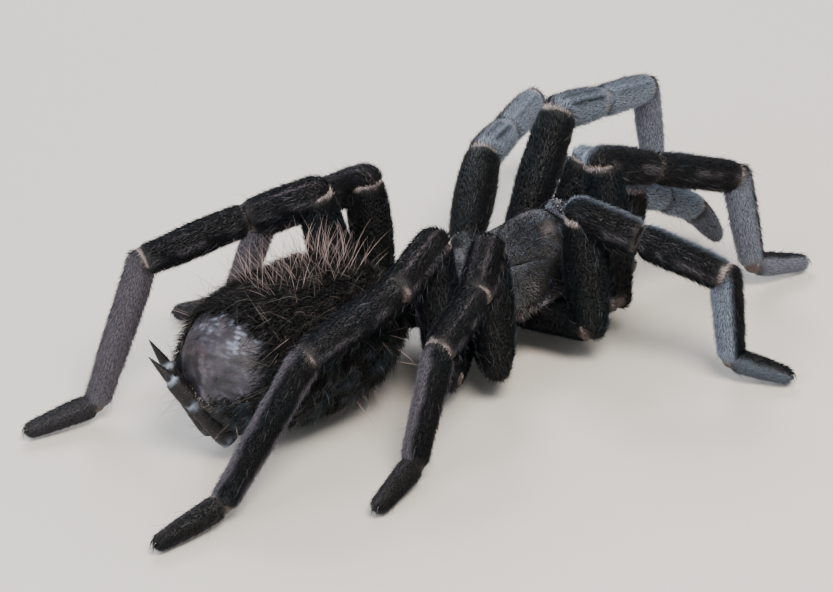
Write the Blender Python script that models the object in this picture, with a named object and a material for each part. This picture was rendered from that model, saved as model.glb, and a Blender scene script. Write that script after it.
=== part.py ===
"""A large black tarantula, life size, standing with its tarsi flat on the floor.

Every article of the legs and palps is one closed solid, and so are the shields of the body, the abdomen,
the spinnerets, the chelicerae and the fangs. The solids run out to the tips of the hair coat. The animal
faces -Y, its left side is +X, and the floor is z = 0.
"""

import math
from dataclasses import dataclass

import bmesh
import bpy
from mathutils import Matrix, Vector

# ---------------------------------------------------------------- driving dimensions, in millimetres
MM = 0.001
GAP = 0.30  # clear air between neighbouring solids
BODY_AT = (-0.35, -3.25, 10.2)  # centre of the carapace rim
HEADING = -90.0  # degrees, the way the head points
PITCH = 2.0  # degrees, head up
ROLL = 4.0  # degrees, right side down

HIP_DROP = 3.0  # the hip joints lie this far under the carapace rim
ANKLE_HEIGHT = 2.9  # axis height of the metatarsus at its far end
TIP_HEIGHT = 1.7  # axis height of the tarsus at its tip
FLOOR_SAG = 0.0  # the soles are cut off at this level

# Coat radius at the hip, knee, patella-tibia, tibia-metatarsus and ankle joints and at the tip.
LEG_RADII = (3.00, 3.25, 3.00, 2.80, 2.40, 1.90)
# Extra radius halfway along the femur, patella, tibia, metatarsus and tarsus.
LEG_SWELL = (0.65, 0.20, 0.15, 0.10, 0.15)
PALP_RADII = (2.00, 2.50, 2.52, 2.40, 1.70)
PALP_SWELL = (0.35, 0.15, 0.10, 0.25)
LEG_SIDES = 12
PALP_SIDES = 8

CARAPACE_FRONT = 17.8
CARAPACE_BACK = 11.8
CARAPACE_HALF_WIDTH = 11.6
CARAPACE_RISE = 3.8  # dome height over the rim
CAPUT_RISE = 4.4  # extra height of the head region
CAPUT_AT = 13.0
CAPUT_REACH = 6.0
CAPUT_HALF_WIDTH = 8.0
EYES_AT = 15.0

STERNUM_AT = 1.4
STERNUM_LENGTH = 20.0
STERNUM_WIDTH = 13.0
STERNUM_DEPTH = 6.6
COXA_RADIUS = 3.05

ABDOMEN_FRONT = -13.2
ABDOMEN_LENGTH = 37.0
ABDOMEN_HALF_WIDTH = 13.0
ABDOMEN_HALF_HEIGHT = 12.0
ABDOMEN_LIFT = 4.0  # its axis over the carapace rim

CHELICERA_LENGTH = 8.6
CHELICERA_HALF_WIDTH = 2.25
CHELICERA_HALF_HEIGHT = 3.4
# The fang's axis from its root to its point: forward, out, up and radius.
FANG_PATH = (
    (26.0, 2.5, -5.6, 0.90),
    (25.5, 2.4, -7.0, 0.88),
    (23.9, 2.1, -7.75, 0.72),
    (22.1, 1.8, -7.7, 0.52),
    (20.5, 1.5, -7.3, 0.30),
)

SPINNERET_ROOT = 2.2  # how far its root reaches back towards the abdomen
SPINNERET_LENGTHS = (5.0, 4.6, 4.6)
SPINNERET_RADII = ((1.95, 1.75), (1.75, 1.45), (1.10, 0.40))


@dataclass(frozen=True)
class LegSize:
    """Article lengths of one pair of legs and where its hip sits: forward and out from the body's centre."""

    femur: float
    patella: float
    tibia: float
    metatarsus: float
    tarsus: float
    forward: float
    out: float


@dataclass(frozen=True)
class LegPose:
    """Joint angles of one leg, in degrees: heading of the femur from the head's, rise, and bends."""

    azimuth: float
    rise: float
    twist: float
    knee: float
    sweep: float


LEG_SIZES = {
    1: LegSize(20.5, 10.5, 14.5, 14.0, 8.5, 15.5, 12.5),
    2: LegSize(17.6, 9.0, 13.5, 13.0, 8.0, 8.0, 16.5),
    3: LegSize(17.0, 9.0, 11.0, 16.0, 9.0, -8.3, 16.0),
    4: LegSize(19.5, 10.5, 16.5, 23.0, 10.0, -15.3, 13.5),
}
LEG_POSES = {
    ("right", 1): LegPose(54, 83, -47, 109, 14),
    ("right", 2): LegPose(-57, 88, 2, 108, 5),
    ("right", 3): LegPose(-139, 98, 2, 116, 17),
    ("right", 4): LegPose(-129, 99, -26, 111, 22),
    ("left", 1): LegPose(20, 48, -3, 61, -6),
    ("left", 2): LegPose(42, 27, -19, 29, -4),
    ("left", 3): LegPose(125, 91, -5, 114, -10),
    ("left", 4): LegPose(174, 82, -12, 90, -7),
}
PALP_LENGTHS = (13.0, 7.0, 9.0, 8.0)
PALP_HIP = (19.4, 8.0)
PALP_RISE = 64.0
PALP_AZIMUTH = 14.8
PALP_KNEE = 96.0
PALP_WRIST = 24.0

# ---------------------------------------------------------------- materials: colour, roughness, metallic
COAT = ((0.012, 0.011, 0.012), 0.72, 0.0)
BODY_COAT = ((0.016, 0.013, 0.012), 0.75, 0.0)
SHIELD = ((0.020, 0.019, 0.022), 0.45, 0.0)
UNDERSIDE = ((0.014, 0.012, 0.012), 0.70, 0.0)
FANG = ((0.006, 0.004, 0.004), 0.22, 0.0)
EYE = ((0.030, 0.028, 0.030), 0.15, 0.0)


def material(name, finish):
    """Makes a Principled material from a colour, a roughness and a metallic value."""
    colour, roughness, metallic = finish
    made = bpy.data.materials.new(name)
    made.use_nodes = True
    shader = made.node_tree.nodes["Principled BSDF"]
    shader.inputs["Base Color"].default_value = (*colour, 1.0)
    shader.inputs["Roughness"].default_value = roughness
    shader.inputs["Metallic"].default_value = metallic
    made.diffuse_color = (*colour, 1.0)
    return made


def body_turn():
    """The rotation that takes body axes (forward, left, up) to the world."""
    turn = Matrix.Rotation(math.radians(HEADING), 3, "Z")
    turn @= Matrix.Rotation(math.radians(-PITCH), 3, "Y")
    turn @= Matrix.Rotation(math.radians(ROLL), 3, "X")
    return turn


BODY_TURN = body_turn()
BODY_CENTRE = Vector(BODY_AT)


def from_body(forward, left, up):
    """A point given in the body's own axes, in world millimetres."""
    return BODY_CENTRE + BODY_TURN @ Vector((forward, left, up))


def heading_vector(azimuth, rise):
    """Unit vector at an azimuth counted from the head's heading and a rise over the horizon, in degrees."""
    around = math.radians(HEADING + azimuth)
    up = math.radians(rise)
    return Vector((math.cos(up) * math.cos(around), math.cos(up) * math.sin(around), math.sin(up)))


def bend(forward, upward, angle):
    """Turns a direction down, away from its own upward vector, and returns both."""
    cosine = math.cos(angle)
    sine = math.sin(angle)
    return cosine * forward - sine * upward, sine * forward + cosine * upward


def bend_to_height(forward, upward, fall):
    """The bend after which the direction's z component equals fall."""
    reach = math.hypot(forward.z, upward.z)
    phase = math.atan2(upward.z, forward.z)
    return math.acos(max(-1.0, min(1.0, fall / reach))) - phase


def limb_joints(hip, azimuth, rise, twist, knee, sweep, lengths, heights=None, wrist=0.0):
    """Joint positions of a limb, hip first.

    heights gives the axis heights the last two joints must reach; without it the last article bends by wrist.
    """
    ahead = heading_vector(azimuth, rise)
    above = heading_vector(azimuth, rise + 90.0)
    aside = ahead.cross(above)
    lean = math.radians(twist)
    above, aside = (
        math.cos(lean) * above + math.sin(lean) * aside,
        math.cos(lean) * aside - math.sin(lean) * above,
    )
    joints = [hip, hip + ahead * lengths[0]]
    ahead, above = bend(ahead, above, math.radians(knee))
    joints.append(joints[-1] + ahead * lengths[1])
    swing = math.radians(sweep)
    ahead = math.cos(swing) * ahead + math.sin(swing) * aside
    joints.append(joints[-1] + ahead * lengths[2])
    if heights is None:
        ahead, above = bend(ahead, above, math.radians(wrist))
        joints.append(joints[-1] + ahead * lengths[3])
        return joints
    for length, height in zip(lengths[3:], heights, strict=True):
        angle = bend_to_height(ahead, above, (height - joints[-1].z) / length)
        ahead, above = bend(ahead, above, angle)
        joints.append(joints[-1] + ahead * length)
    return joints


def leg_joints(side, number):
    """Hip, knee, patella-tibia, tibia-metatarsus, ankle and tip of one leg."""
    size = LEG_SIZES[number]
    pose = LEG_POSES[side, number]
    hand = 1.0 if side == "left" else -1.0
    hip = from_body(size.forward, size.out * hand, -HIP_DROP)
    lengths = (size.femur, size.patella, size.tibia, size.metatarsus, size.tarsus)
    heights = (ANKLE_HEIGHT, TIP_HEIGHT)
    return limb_joints(hip, pose.azimuth, pose.rise, pose.twist, pose.knee, pose.sweep, lengths, heights)


def palp_joints(side):
    """Hip, knee, patella-tibia, tibia-tarsus and tip of one palp."""
    hand = 1.0 if side == "left" else -1.0
    hip = from_body(PALP_HIP[0], PALP_HIP[1] * hand, -HIP_DROP)
    azimuth = -PALP_AZIMUTH * hand
    return limb_joints(hip, azimuth, PALP_RISE, 0.0, PALP_KNEE, 0.0, PALP_LENGTHS, wrist=PALP_WRIST)


def hip_inner(side, forward, out):
    """Inner end of a coxa, at the edge of the sternum."""
    hand = 1.0 if side == "left" else -1.0
    return from_body(forward * 0.42, out * 0.30 * hand, -HIP_DROP - 0.6)


# ---------------------------------------------------------------- solids
def cross_axes(direction):
    """Two unit vectors square to a direction, the second as upright as it can be."""
    sideways = direction.cross(Vector((0, 0, 1)))
    if sideways.length < 0.2:
        sideways = direction.cross(Vector((0, 1, 0)))
    sideways.normalize()
    return sideways, sideways.cross(direction).normalized()


def lofted(rings, start=None, end=None):
    """A closed mesh through rings of points, each end closed by a point or by a flat face."""
    mesh = bmesh.new()
    loops = [[mesh.verts.new(point) for point in ring] for ring in rings]
    count = len(loops[0])
    for near, far in zip(loops, loops[1:], strict=False):
        for i in range(count):
            j = (i + 1) % count
            mesh.faces.new((near[i], near[j], far[j], far[i]))
    for loop, tip in ((loops[0], start), (loops[-1], end)):
        if tip is None:
            mesh.faces.new(loop)
            continue
        apex = mesh.verts.new(tip)
        for i in range(count):
            mesh.faces.new((loop[i], loop[(i + 1) % count], apex))
    bmesh.ops.recalc_face_normals(mesh, faces=mesh.faces)
    return mesh


def ring_at(centre, axes, radius_side, radius_up, sides):
    """One ring of points around an axis, with a flat of the polygon facing down."""
    sideways, upward = axes
    ring = []
    for i in range(sides):
        angle = 2.0 * math.pi * (i + 0.5) / sides
        step = sideways * (math.sin(angle) * radius_side) + upward * (-math.cos(angle) * radius_up)
        ring.append(centre + step)
    return ring


def article(start, end, radius_start, radius_end, swell, sides, spans=3):
    """A limb article: a tube with a swell along it and a rounded cap centred on each joint."""
    direction = (end - start).normalized()
    axes = cross_axes(direction)
    narrow_start = radius_start * 0.69
    narrow_end = radius_end * 0.69
    rings = [ring_at(start - direction * radius_start * 0.72, axes, narrow_start, narrow_start, sides)]
    for k in range(spans + 1):
        part = k / spans
        radius = radius_start + (radius_end - radius_start) * part + swell * math.sin(math.pi * part)
        rings.append(ring_at(start.lerp(end, part), axes, radius, radius, sides))
    rings.append(ring_at(end + direction * radius_end * 0.72, axes, narrow_end, narrow_end, sides))
    return lofted(rings, start - direction * radius_start, end + direction * radius_end)


def keep_behind(mesh, point, normal):
    """Cuts a mesh with a plane, drops what lies past it and closes the cut."""
    geometry = list(mesh.verts) + list(mesh.edges) + list(mesh.faces)
    bmesh.ops.bisect_plane(mesh, geom=geometry, dist=1e-5, plane_co=point, plane_no=normal, clear_outer=True)
    rim = [edge for edge in mesh.edges if edge.is_boundary]
    if rim:
        bmesh.ops.edgeloop_fill(mesh, edges=rim)
    bmesh.ops.recalc_face_normals(mesh, faces=mesh.faces)


def part_at_joint(mesh, joint, before, after, keeps_before):
    """Cuts a solid on one side of the plane that halves the bend at a joint."""
    normal = ((joint - before).normalized() + (after - joint).normalized()).normalized()
    if keeps_before:
        keep_behind(mesh, joint - normal * GAP / 2, normal)
    else:
        keep_behind(mesh, joint + normal * GAP / 2, -normal)


def finish(name, mesh, skin, flat=False):
    """Turns a mesh in millimetres into a shaded object in metres."""
    bmesh.ops.dissolve_degenerate(mesh, dist=1e-4, edges=mesh.edges)
    bmesh.ops.triangulate(mesh, faces=[face for face in mesh.faces if len(face.verts) > 4])
    bmesh.ops.scale(mesh, vec=(MM, MM, MM), verts=mesh.verts)
    data = bpy.data.meshes.new(name)
    mesh.to_mesh(data)
    mesh.free()
    made = bpy.data.objects.new(name, data)
    bpy.context.scene.collection.objects.link(made)
    data.materials.append(skin)
    for face in data.polygons:
        face.use_smooth = not flat
    return made


def combined(solids, operation="UNION"):
    """Unites several meshes into one closed mesh, or cuts the later ones out of the first."""
    objects = []
    for i, mesh in enumerate(solids):
        data = bpy.data.meshes.new(f"piece_{i}")
        mesh.to_mesh(data)
        mesh.free()
        made = bpy.data.objects.new(f"piece_{i}", data)
        bpy.context.scene.collection.objects.link(made)
        objects.append(made)
    base = objects[0]
    for other in objects[1:]:
        step = base.modifiers.new("step", "BOOLEAN")
        step.operation = operation
        step.solver = "EXACT"
        step.object = other
    graph = bpy.context.evaluated_depsgraph_get()
    mesh = bmesh.new()
    mesh.from_object(base, graph)
    for made in objects:
        bpy.data.objects.remove(made, do_unlink=True)
    return mesh


def build_limb(prefix, names, joints, inner, radii, swells, sides, skin, on_floor):
    """Builds the articles of a leg or palp, each parted from the next by a narrow gap."""
    line = [inner, *joints]
    for k, name in enumerate(names):
        mesh = article(joints[k], joints[k + 1], radii[k], radii[k + 1], swells[k], sides)
        part_at_joint(mesh, joints[k], line[k], joints[k + 1], keeps_before=False)
        if k + 2 < len(joints):
            part_at_joint(mesh, joints[k + 1], joints[k], joints[k + 2], keeps_before=True)
        if on_floor and k == len(names) - 1:
            keep_behind(mesh, Vector((0, 0, FLOOR_SAG)), Vector((0, 0, -1)))
        finish(f"{prefix}_{name}", mesh, skin)


def carapace_half_width(forward):
    """Half width of the carapace at a station along it; the head end is the narrower."""
    reach = CARAPACE_FRONT if forward > 0 else CARAPACE_BACK
    share = min(abs(forward) / reach, 1.0)
    taper = 1.0 - 0.16 * forward / CARAPACE_FRONT if forward > 0 else 1.0
    return CARAPACE_HALF_WIDTH * (1.0 - share**2.5) ** (1 / 2.3) * taper


def carapace_rise(forward, out=0.0):
    """Height of the carapace's dome over its rim, before it falls away to the edges."""
    caput = CAPUT_RISE * math.exp(-(((forward - CAPUT_AT) / CAPUT_REACH) ** 2) - (out / CAPUT_HALF_WIDTH) ** 2)
    return CARAPACE_RISE + caput - 0.05 * max(0.0, -forward)


def carapace_fall(level, spread):
    """Share of the dome's height left at a level from middle to edge; steep only at the face."""
    return (1.0 - level ** (2.0 + 8.0 * max(0.0, spread))) ** 0.7


def carapace_mesh(grown=0.0):
    """The dorsal shield: a dome with a raised, steep-fronted head region over a flat underside.

    A value for grown makes it that much larger all round.
    """
    sides = 24
    rings = []
    for level in (1.0, 0.94, 0.80, 0.58, 0.30):
        ring = []
        for i in range(sides):
            angle = 2.0 * math.pi * i / sides
            spread = math.copysign(abs(math.cos(angle)) ** 0.85, math.cos(angle))
            station = spread * (CARAPACE_FRONT if spread > 0 else CARAPACE_BACK)
            half = carapace_half_width(station * 0.995) + grown
            side = math.copysign(1.0, math.sin(angle)) if abs(math.sin(angle)) > 1e-6 else 0.0
            forward = station * level
            out = side * half * level
            height = carapace_rise(forward, out) * carapace_fall(level, spread) + grown
            ring.append(from_body(forward + spread * grown, out, height - 0.35))
        rings.append(ring)
    low = [point - BODY_TURN @ Vector((0, 0, 0.9 + grown)) for point in rings[0]]
    return lofted([low, *rings], None, from_body(1.0, 0, carapace_rise(1.0) + grown - 0.35))


def build_underside(skin, limbs):
    """The sternum with the ten coxae, united and cut off flat under the carapace."""
    sides = 14
    rings = []
    for level, drop in ((0.95, 0.6), (1.0, -3.0), (0.88, -5.2), (0.55, -6.2)):
        ring = []
        for i in range(sides):
            angle = 2.0 * math.pi * i / sides
            forward = math.cos(angle) * STERNUM_LENGTH / 2 * level + STERNUM_AT
            side = math.sin(angle) * STERNUM_WIDTH / 2 * level
            ring.append(from_body(forward, side, -1.0 + drop))
        rings.append(ring)
    pieces = [lofted(rings, None, from_body(STERNUM_AT, 0, -STERNUM_DEPTH - 1.0))]
    for inner, hip, knee, radius, count in limbs:
        coxa = article(inner, hip, radius, radius * 0.93, 0.1, count, spans=2)
        part_at_joint(coxa, hip, inner, knee, keeps_before=True)
        pieces.append(coxa)
    mesh = combined(pieces)
    keep_behind(mesh, from_body(0, 0, -1.25 - GAP), BODY_TURN @ Vector((0, 0, 1)))
    finish("sternum_coxae", mesh, skin)


def abdomen_mesh(grown=0.0):
    """The plump abdomen, widest behind its middle and blunt at the back.

    A value for grown makes it that much larger all round.
    """
    sides = 20
    stations = 11
    rings = []
    for k in range(1, stations):
        part = k / stations
        angle = math.pi * part
        along = (1.0 - math.cos(angle)) / 2.0
        girth = math.sin(angle) ** (0.92 - 0.14 * along) * (0.955 + 0.075 * along)
        reach = ABDOMEN_LENGTH * along - grown * math.cos(angle)
        centre = from_body(ABDOMEN_FRONT - reach, 0, ABDOMEN_LIFT)
        ring = []
        for i in range(sides):
            around = 2.0 * math.pi * (i + 0.5) / sides
            side = math.sin(around) * (ABDOMEN_HALF_WIDTH + grown) * girth
            up = -math.cos(around) * (ABDOMEN_HALF_HEIGHT + grown) * girth
            ring.append(centre + BODY_TURN @ Vector((0, side, up)))
        rings.append(ring)
    front = from_body(ABDOMEN_FRONT + grown, 0, ABDOMEN_LIFT)
    back = from_body(ABDOMEN_FRONT - ABDOMEN_LENGTH - grown, 0, ABDOMEN_LIFT)
    return lofted(rings, front, back)


def build_spinneret(name, base, azimuth, rise, skin):
    """A long three-jointed spinneret, waisted at its joints and fitted to the abdomen's skin."""
    direction = heading_vector(azimuth, rise)
    axes = cross_axes(direction)
    root = SPINNERET_RADII[0][0]
    rings = [ring_at(base - direction * SPINNERET_ROOT, axes, root, root, 8)]
    reach = 0.0
    for length, (near, far) in zip(SPINNERET_LENGTHS, SPINNERET_RADII, strict=True):
        for part, swell in ((0.0, 0.84), (0.16, 1.0), (0.6, 1.02), (0.96, 0.94)):
            radius = (near + (far - near) * part) * swell
            rings.append(ring_at(base + direction * (reach + length * part), axes, radius, radius, 8))
        reach += length
    mesh = lofted(rings, None, base + direction * (reach + 0.3))
    finish(name, combined([mesh, abdomen_mesh(GAP)], "DIFFERENCE"), skin)


def build_jaws(hand, side, coat, fang):
    """One chelicera with its fang folded back under it."""
    root = from_body(CARAPACE_FRONT - 1.0, 2.45 * hand, 0.15)
    tip = from_body(CARAPACE_FRONT + CHELICERA_LENGTH - 0.6, 2.35 * hand, -3.0)
    direction = (tip - root).normalized()
    sideways = BODY_TURN @ Vector((0, -1, 0))
    upward = sideways.cross(direction)
    rings = []
    for part, size in ((0.0, 0.96), (0.25, 1.04), (0.5, 1.02), (0.75, 0.90), (0.93, 0.70), (1.02, 0.42)):
        centre = root.lerp(tip, part)
        half_width = CHELICERA_HALF_WIDTH * size
        half_height = CHELICERA_HALF_HEIGHT * size
        rings.append(ring_at(centre, (sideways, upward), half_width, half_height, 12))
    mesh = lofted(rings, None, tip + direction * 0.6)
    keep_behind(mesh, from_body(CARAPACE_FRONT + GAP, 0, 0), BODY_TURN @ Vector((-1, 0, 0)))
    keep_behind(mesh, from_body(0, GAP / 2 * hand, 0), BODY_TURN @ Vector((0, -hand, 0)))
    finish(f"chelicera_{side}", mesh, coat)
    points = [from_body(forward, out * hand, up) for forward, out, up, _ in FANG_PATH]
    rings = []
    for k, (_, _, _, radius) in enumerate(FANG_PATH):
        ahead = (points[min(k + 1, len(points) - 1)] - points[max(k - 1, 0)]).normalized()
        rings.append(ring_at(points[k], (sideways, sideways.cross(ahead)), radius * 0.85, radius, 8))
    finish(f"fang_{side}", lofted(rings), fang)


def build_eyes(skin):
    """The low mound that carries the eight eyes, fitted to the top of the head region."""
    centre = from_body(EYES_AT, 0, carapace_rise(EYES_AT) * carapace_fall(EYES_AT / CARAPACE_FRONT, 1.0))
    rings = []
    for level, lift in ((0.95, -1.6), (1.0, 0.3), (0.95, 1.0), (0.7, 1.6), (0.35, 1.9)):
        ring = []
        for i in range(12):
            angle = 2.0 * math.pi * i / 12
            step = Vector((math.cos(angle) * 1.45 * level, math.sin(angle) * 1.95 * level, lift))
            ring.append(centre + BODY_TURN @ step)
        rings.append(ring)
    mound = lofted(rings, None, centre + BODY_TURN @ Vector((0, 0, 1.95)))
    finish("eye_mound", combined([mound, carapace_mesh(GAP)], "DIFFERENCE"), skin)


def build():
    """Builds the whole animal."""
    for old in list(bpy.data.objects):
        bpy.data.objects.remove(old, do_unlink=True)
    coat = material("leg_coat", COAT)
    body_coat = material("abdomen_coat", BODY_COAT)
    shield = material("carapace_coat", SHIELD)
    under = material("underside_coat", UNDERSIDE)
    fang = material("fang_horn", FANG)
    eye = material("eye_lens", EYE)

    limbs = []
    leg_names = ("femur", "patella", "tibia", "metatarsus", "tarsus")
    palp_names = ("femur", "patella", "tibia", "tarsus")
    for side in ("left", "right"):
        for number, size in LEG_SIZES.items():
            joints = leg_joints(side, number)
            inner = hip_inner(side, size.forward, size.out)
            prefix = f"leg_{side}_{number}"
            build_limb(prefix, leg_names, joints, inner, LEG_RADII, LEG_SWELL, LEG_SIDES, coat, True)
            limbs.append((inner, joints[0], joints[1], COXA_RADIUS, 10))
        joints = palp_joints(side)
        inner = hip_inner(side, *PALP_HIP)
        build_limb(f"palp_{side}", palp_names, joints, inner, PALP_RADII, PALP_SWELL, PALP_SIDES, coat, False)
        limbs.append((inner, joints[0], joints[1], PALP_RADII[0], 8))
    finish("carapace", carapace_mesh(), shield)
    build_underside(under, limbs)
    finish("abdomen", abdomen_mesh(), body_coat)
    build_spinneret("spinneret_right", from_body(-46.9, -2.0, -2.7), 146, 57, body_coat)
    build_spinneret("spinneret_left", from_body(-46.9, 2.6, -2.9), 160, 68, body_coat)
    for side, hand in (("left", 1.0), ("right", -1.0)):
        build_jaws(hand, side, coat, fang)
    build_eyes(eye)


build()
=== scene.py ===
"""A large black tarantula, life size, as a still museum model.

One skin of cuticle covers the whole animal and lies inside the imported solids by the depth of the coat. Over
it grow the coats: a short velvet, pale fringes at the ends of the leg articles and long bristles, each hair a
thin solid blade. Eyes, fangs and claws are pieces of their own. Lengths are in millimetres until a mesh is
made. Body axes are forward, left and up from the middle of the carapace rim.
"""

import logging
import math
from collections.abc import Iterable, Sequence
from dataclasses import dataclass, field, fields
from enum import Enum

import bpy
import numpy as np
from mathutils import Matrix, Vector


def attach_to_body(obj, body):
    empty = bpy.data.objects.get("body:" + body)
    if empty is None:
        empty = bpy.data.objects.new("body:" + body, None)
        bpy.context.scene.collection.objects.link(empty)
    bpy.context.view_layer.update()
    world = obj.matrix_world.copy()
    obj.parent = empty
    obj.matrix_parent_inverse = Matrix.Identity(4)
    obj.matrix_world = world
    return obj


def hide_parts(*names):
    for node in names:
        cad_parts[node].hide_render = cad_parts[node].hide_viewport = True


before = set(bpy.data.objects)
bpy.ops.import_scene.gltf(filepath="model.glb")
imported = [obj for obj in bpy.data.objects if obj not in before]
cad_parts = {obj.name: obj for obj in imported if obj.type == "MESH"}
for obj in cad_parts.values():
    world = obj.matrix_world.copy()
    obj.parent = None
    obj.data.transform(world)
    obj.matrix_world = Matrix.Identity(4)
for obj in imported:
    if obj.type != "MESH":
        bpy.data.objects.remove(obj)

LOG = logging.getLogger("tarantula")
MM = 0.001
Array = np.ndarray
Corners = tuple[int, ...]  # vertex numbers of one face
Values = dict[str | int, object]  # what a node's settings or inputs get
Piece = bpy.types.Object
Material = bpy.types.Material
Tree = bpy.types.NodeTree
Node = bpy.types.Node
Socket = bpy.types.NodeSocket
UNWRAP = "OFBake"
TUFT_PATCH = 0.003  # share of the unwrap that one hair's patch covers
POLE_ROOM = 0.03  # share of a chart's height kept for the fan of faces at each end
SKIN_FLOOR = 0.45  # lowest the skin may lie, in millimetres, so that the sole's hair has room
HANDS = (-1.0, 1.0)  # right and left, as signs of the body's left axis


class Side(Enum):
    """The animal's two sides, with the sign of the body's left axis."""

    LEFT = 1.0
    RIGHT = -1.0

    @property
    def word(self) -> str:
        """The side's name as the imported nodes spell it."""
        return self.name.lower()


# ---- colours
def linear(hex_code: str) -> tuple[float, float, float]:
    """Turns an sRGB hex colour into linear values.

    Args:
        hex_code: A colour such as "#1a1816".

    Returns:
        Red, green and blue in linear light.
    """
    values = []
    for start in (1, 3, 5):
        share = int(hex_code[start : start + 2], 16) / 255.0
        values.append(share / 12.92 if share <= 0.04045 else ((share + 0.055) / 1.055) ** 2.4)
    return values[0], values[1], values[2]


class Tint(Enum):
    """The colours of the animal's coat and skin."""

    VELVET = "#090e12"
    TEAL = "#07151b"
    PURPLE_BROWN = "#18161e"
    # The next three greys are painted sheen on legs and palps; the blue one is also painted highlight on the
    # abdomen's flanks and the spinnerets' joints, the lilac one also the bald patch's worn skin, the lavender
    # one also the eye mound's hair.
    LAVENDER = "#8d93a4"
    GREY_BLUE = "#94a1b4"
    GREY_LILAC = "#7c7782"
    SEAM = "#918c95"
    STREAK = "#3b343a"
    STREAK_DARK = "#1b2226"
    FRINGE = "#cdbfba"
    MEMBRANE = "#453a37"
    RIM = "#786d6d"
    CUTICLE = "#0e0c0d"
    FUR = "#101213"
    FUR_BROWN = "#1a1615"
    FUR_PALE = "#423d3b"
    # painted sheen on the abdomen's flanks
    FUR_BLUE = "#30383d"
    BALD = "#312d35"
    BALD_RED = "#3c2927"
    BALD_GLINT = "#828b9e"
    CARAPACE = "#05080d"
    GLINT = "#7f95ba"
    CAPUT = "#5d4e50"
    UNDERSIDE = "#221c1a"
    LUNG = "#6e5a4c"
    RUST = "#8a4a2c"
    SPINNERET = "#2b262c"

    @property
    def rgb(self) -> Array:
        """The colour in linear light."""
        return np.array(linear(self.value))


# ---- helpers
def unit(vectors: Array) -> Array:
    """Scales vectors to length one along their last axis."""
    return vectors / np.maximum(np.linalg.norm(vectors, axis=-1, keepdims=True), 1e-9)


def circle(sides: int) -> Array:
    """Evenly spaced angles round a ring."""
    return 2.0 * math.pi * np.arange(sides) / sides


def parts(points: Array) -> tuple[Array, Array, Array]:
    """The three coordinates of points, each as an array."""
    return points[..., 0], points[..., 1], points[..., 2]


def smooth(value: Array | float, low: float, high: float) -> Array:
    """A smooth step from 0 at low to 1 at high; low may be the larger."""
    share = np.clip((np.asarray(value, float) - low) / (high - low), 0.0, 1.0)
    return share * share * (3.0 - 2.0 * share)


def bump(value: Array | float, centre: float, width: float) -> Array:
    """A bell of height one around a centre."""
    return np.exp(-(((np.asarray(value, float) - centre) / width) ** 2))


def ripple(points: Array, size: float, seed: int) -> Array:
    """Smooth noise between about -1 and 1 from a few crossed waves.

    Args:
        points: Positions in millimetres, the last axis of length 3.
        size: Rough size of the lumps in millimetres.
        seed: Picks the waves.

    Returns:
        One value for each point.
    """
    rng = np.random.default_rng(seed)
    total = np.zeros(points.shape[:-1])
    for _ in range(7):
        wave = rng.normal(size=3) * (2.2 / size)
        total += np.sin(points @ wave + rng.uniform(0.0, 2.0 * math.pi))
    return total / 3.5


def add_node(tree: Tree, kind: str, settings: Values | None = None, inputs: Values | None = None) -> Node:
    """Adds one node to a tree.

    Args:
        tree: The tree that gets the node.
        kind: The node's type name.
        settings: Properties to set, which may change the sockets.
        inputs: Values or output sockets for its inputs, by name or place.

    Returns:
        The new node.
    """
    node = tree.nodes.new(kind)
    for name, value in (settings or {}).items():
        setattr(node, name, value)
    for name, value in (inputs or {}).items():
        socket = node.inputs[name]
        if isinstance(value, Node):
            value = value.outputs[0]
        if isinstance(value, Socket):
            tree.links.new(value, socket)
        else:
            socket.default_value = value
    return node


# ---- body axes
@dataclass(frozen=True)
class BodyAxes:
    """Where the body stands and how it is turned; the same numbers as in the solids."""

    centre: tuple[float, float, float] = (-0.35, -3.25, 10.2)
    heading: float = -90.0
    pitch: float = 2.0
    roll: float = 4.0

    def turn(self) -> Array:
        """The rotation from body axes to the frame's axes."""
        turned = Matrix.Rotation(math.radians(self.heading), 3, "Z")
        turned @= Matrix.Rotation(math.radians(-self.pitch), 3, "Y")
        turned @= Matrix.Rotation(math.radians(self.roll), 3, "X")
        return np.array(turned)

    def place(self, points: Array | Sequence[float]) -> Array:
        """Takes points (forward, left, up) to the frame."""
        return np.asarray(points, float) @ self.turn().T + np.array(self.centre)

    def direct(self, vectors: Array | Sequence[float]) -> Array:
        """Takes directions (forward, left, up) to the frame."""
        return np.asarray(vectors, float) @ self.turn().T

    def local(self, points: Array) -> Array:
        """Takes points of the frame back to body axes."""
        return (points - np.array(self.centre)) @ self.turn()

    def heading_vector(self, azimuth: float, rise: float) -> Array:
        """A direction from its azimuth off the heading and its rise over the horizon, in degrees."""
        around = math.radians(self.heading + azimuth)
        up = math.radians(rise)
        return np.array([math.cos(up) * math.cos(around), math.cos(up) * math.sin(around), math.sin(up)])


BODY = BodyAxes()


# ---- skin grids
@dataclass(frozen=True)
class Chart:
    """A rectangle of the unwrap: its low corner and its size."""

    left: float
    low: float
    width: float
    height: float


@dataclass(frozen=True)
class Faces:
    """Faces of one kind: their vertex numbers, and where their corners lie on the unwrap."""

    corners: Array  # faces, corners
    spots: Array  # faces, corners, 2


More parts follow.
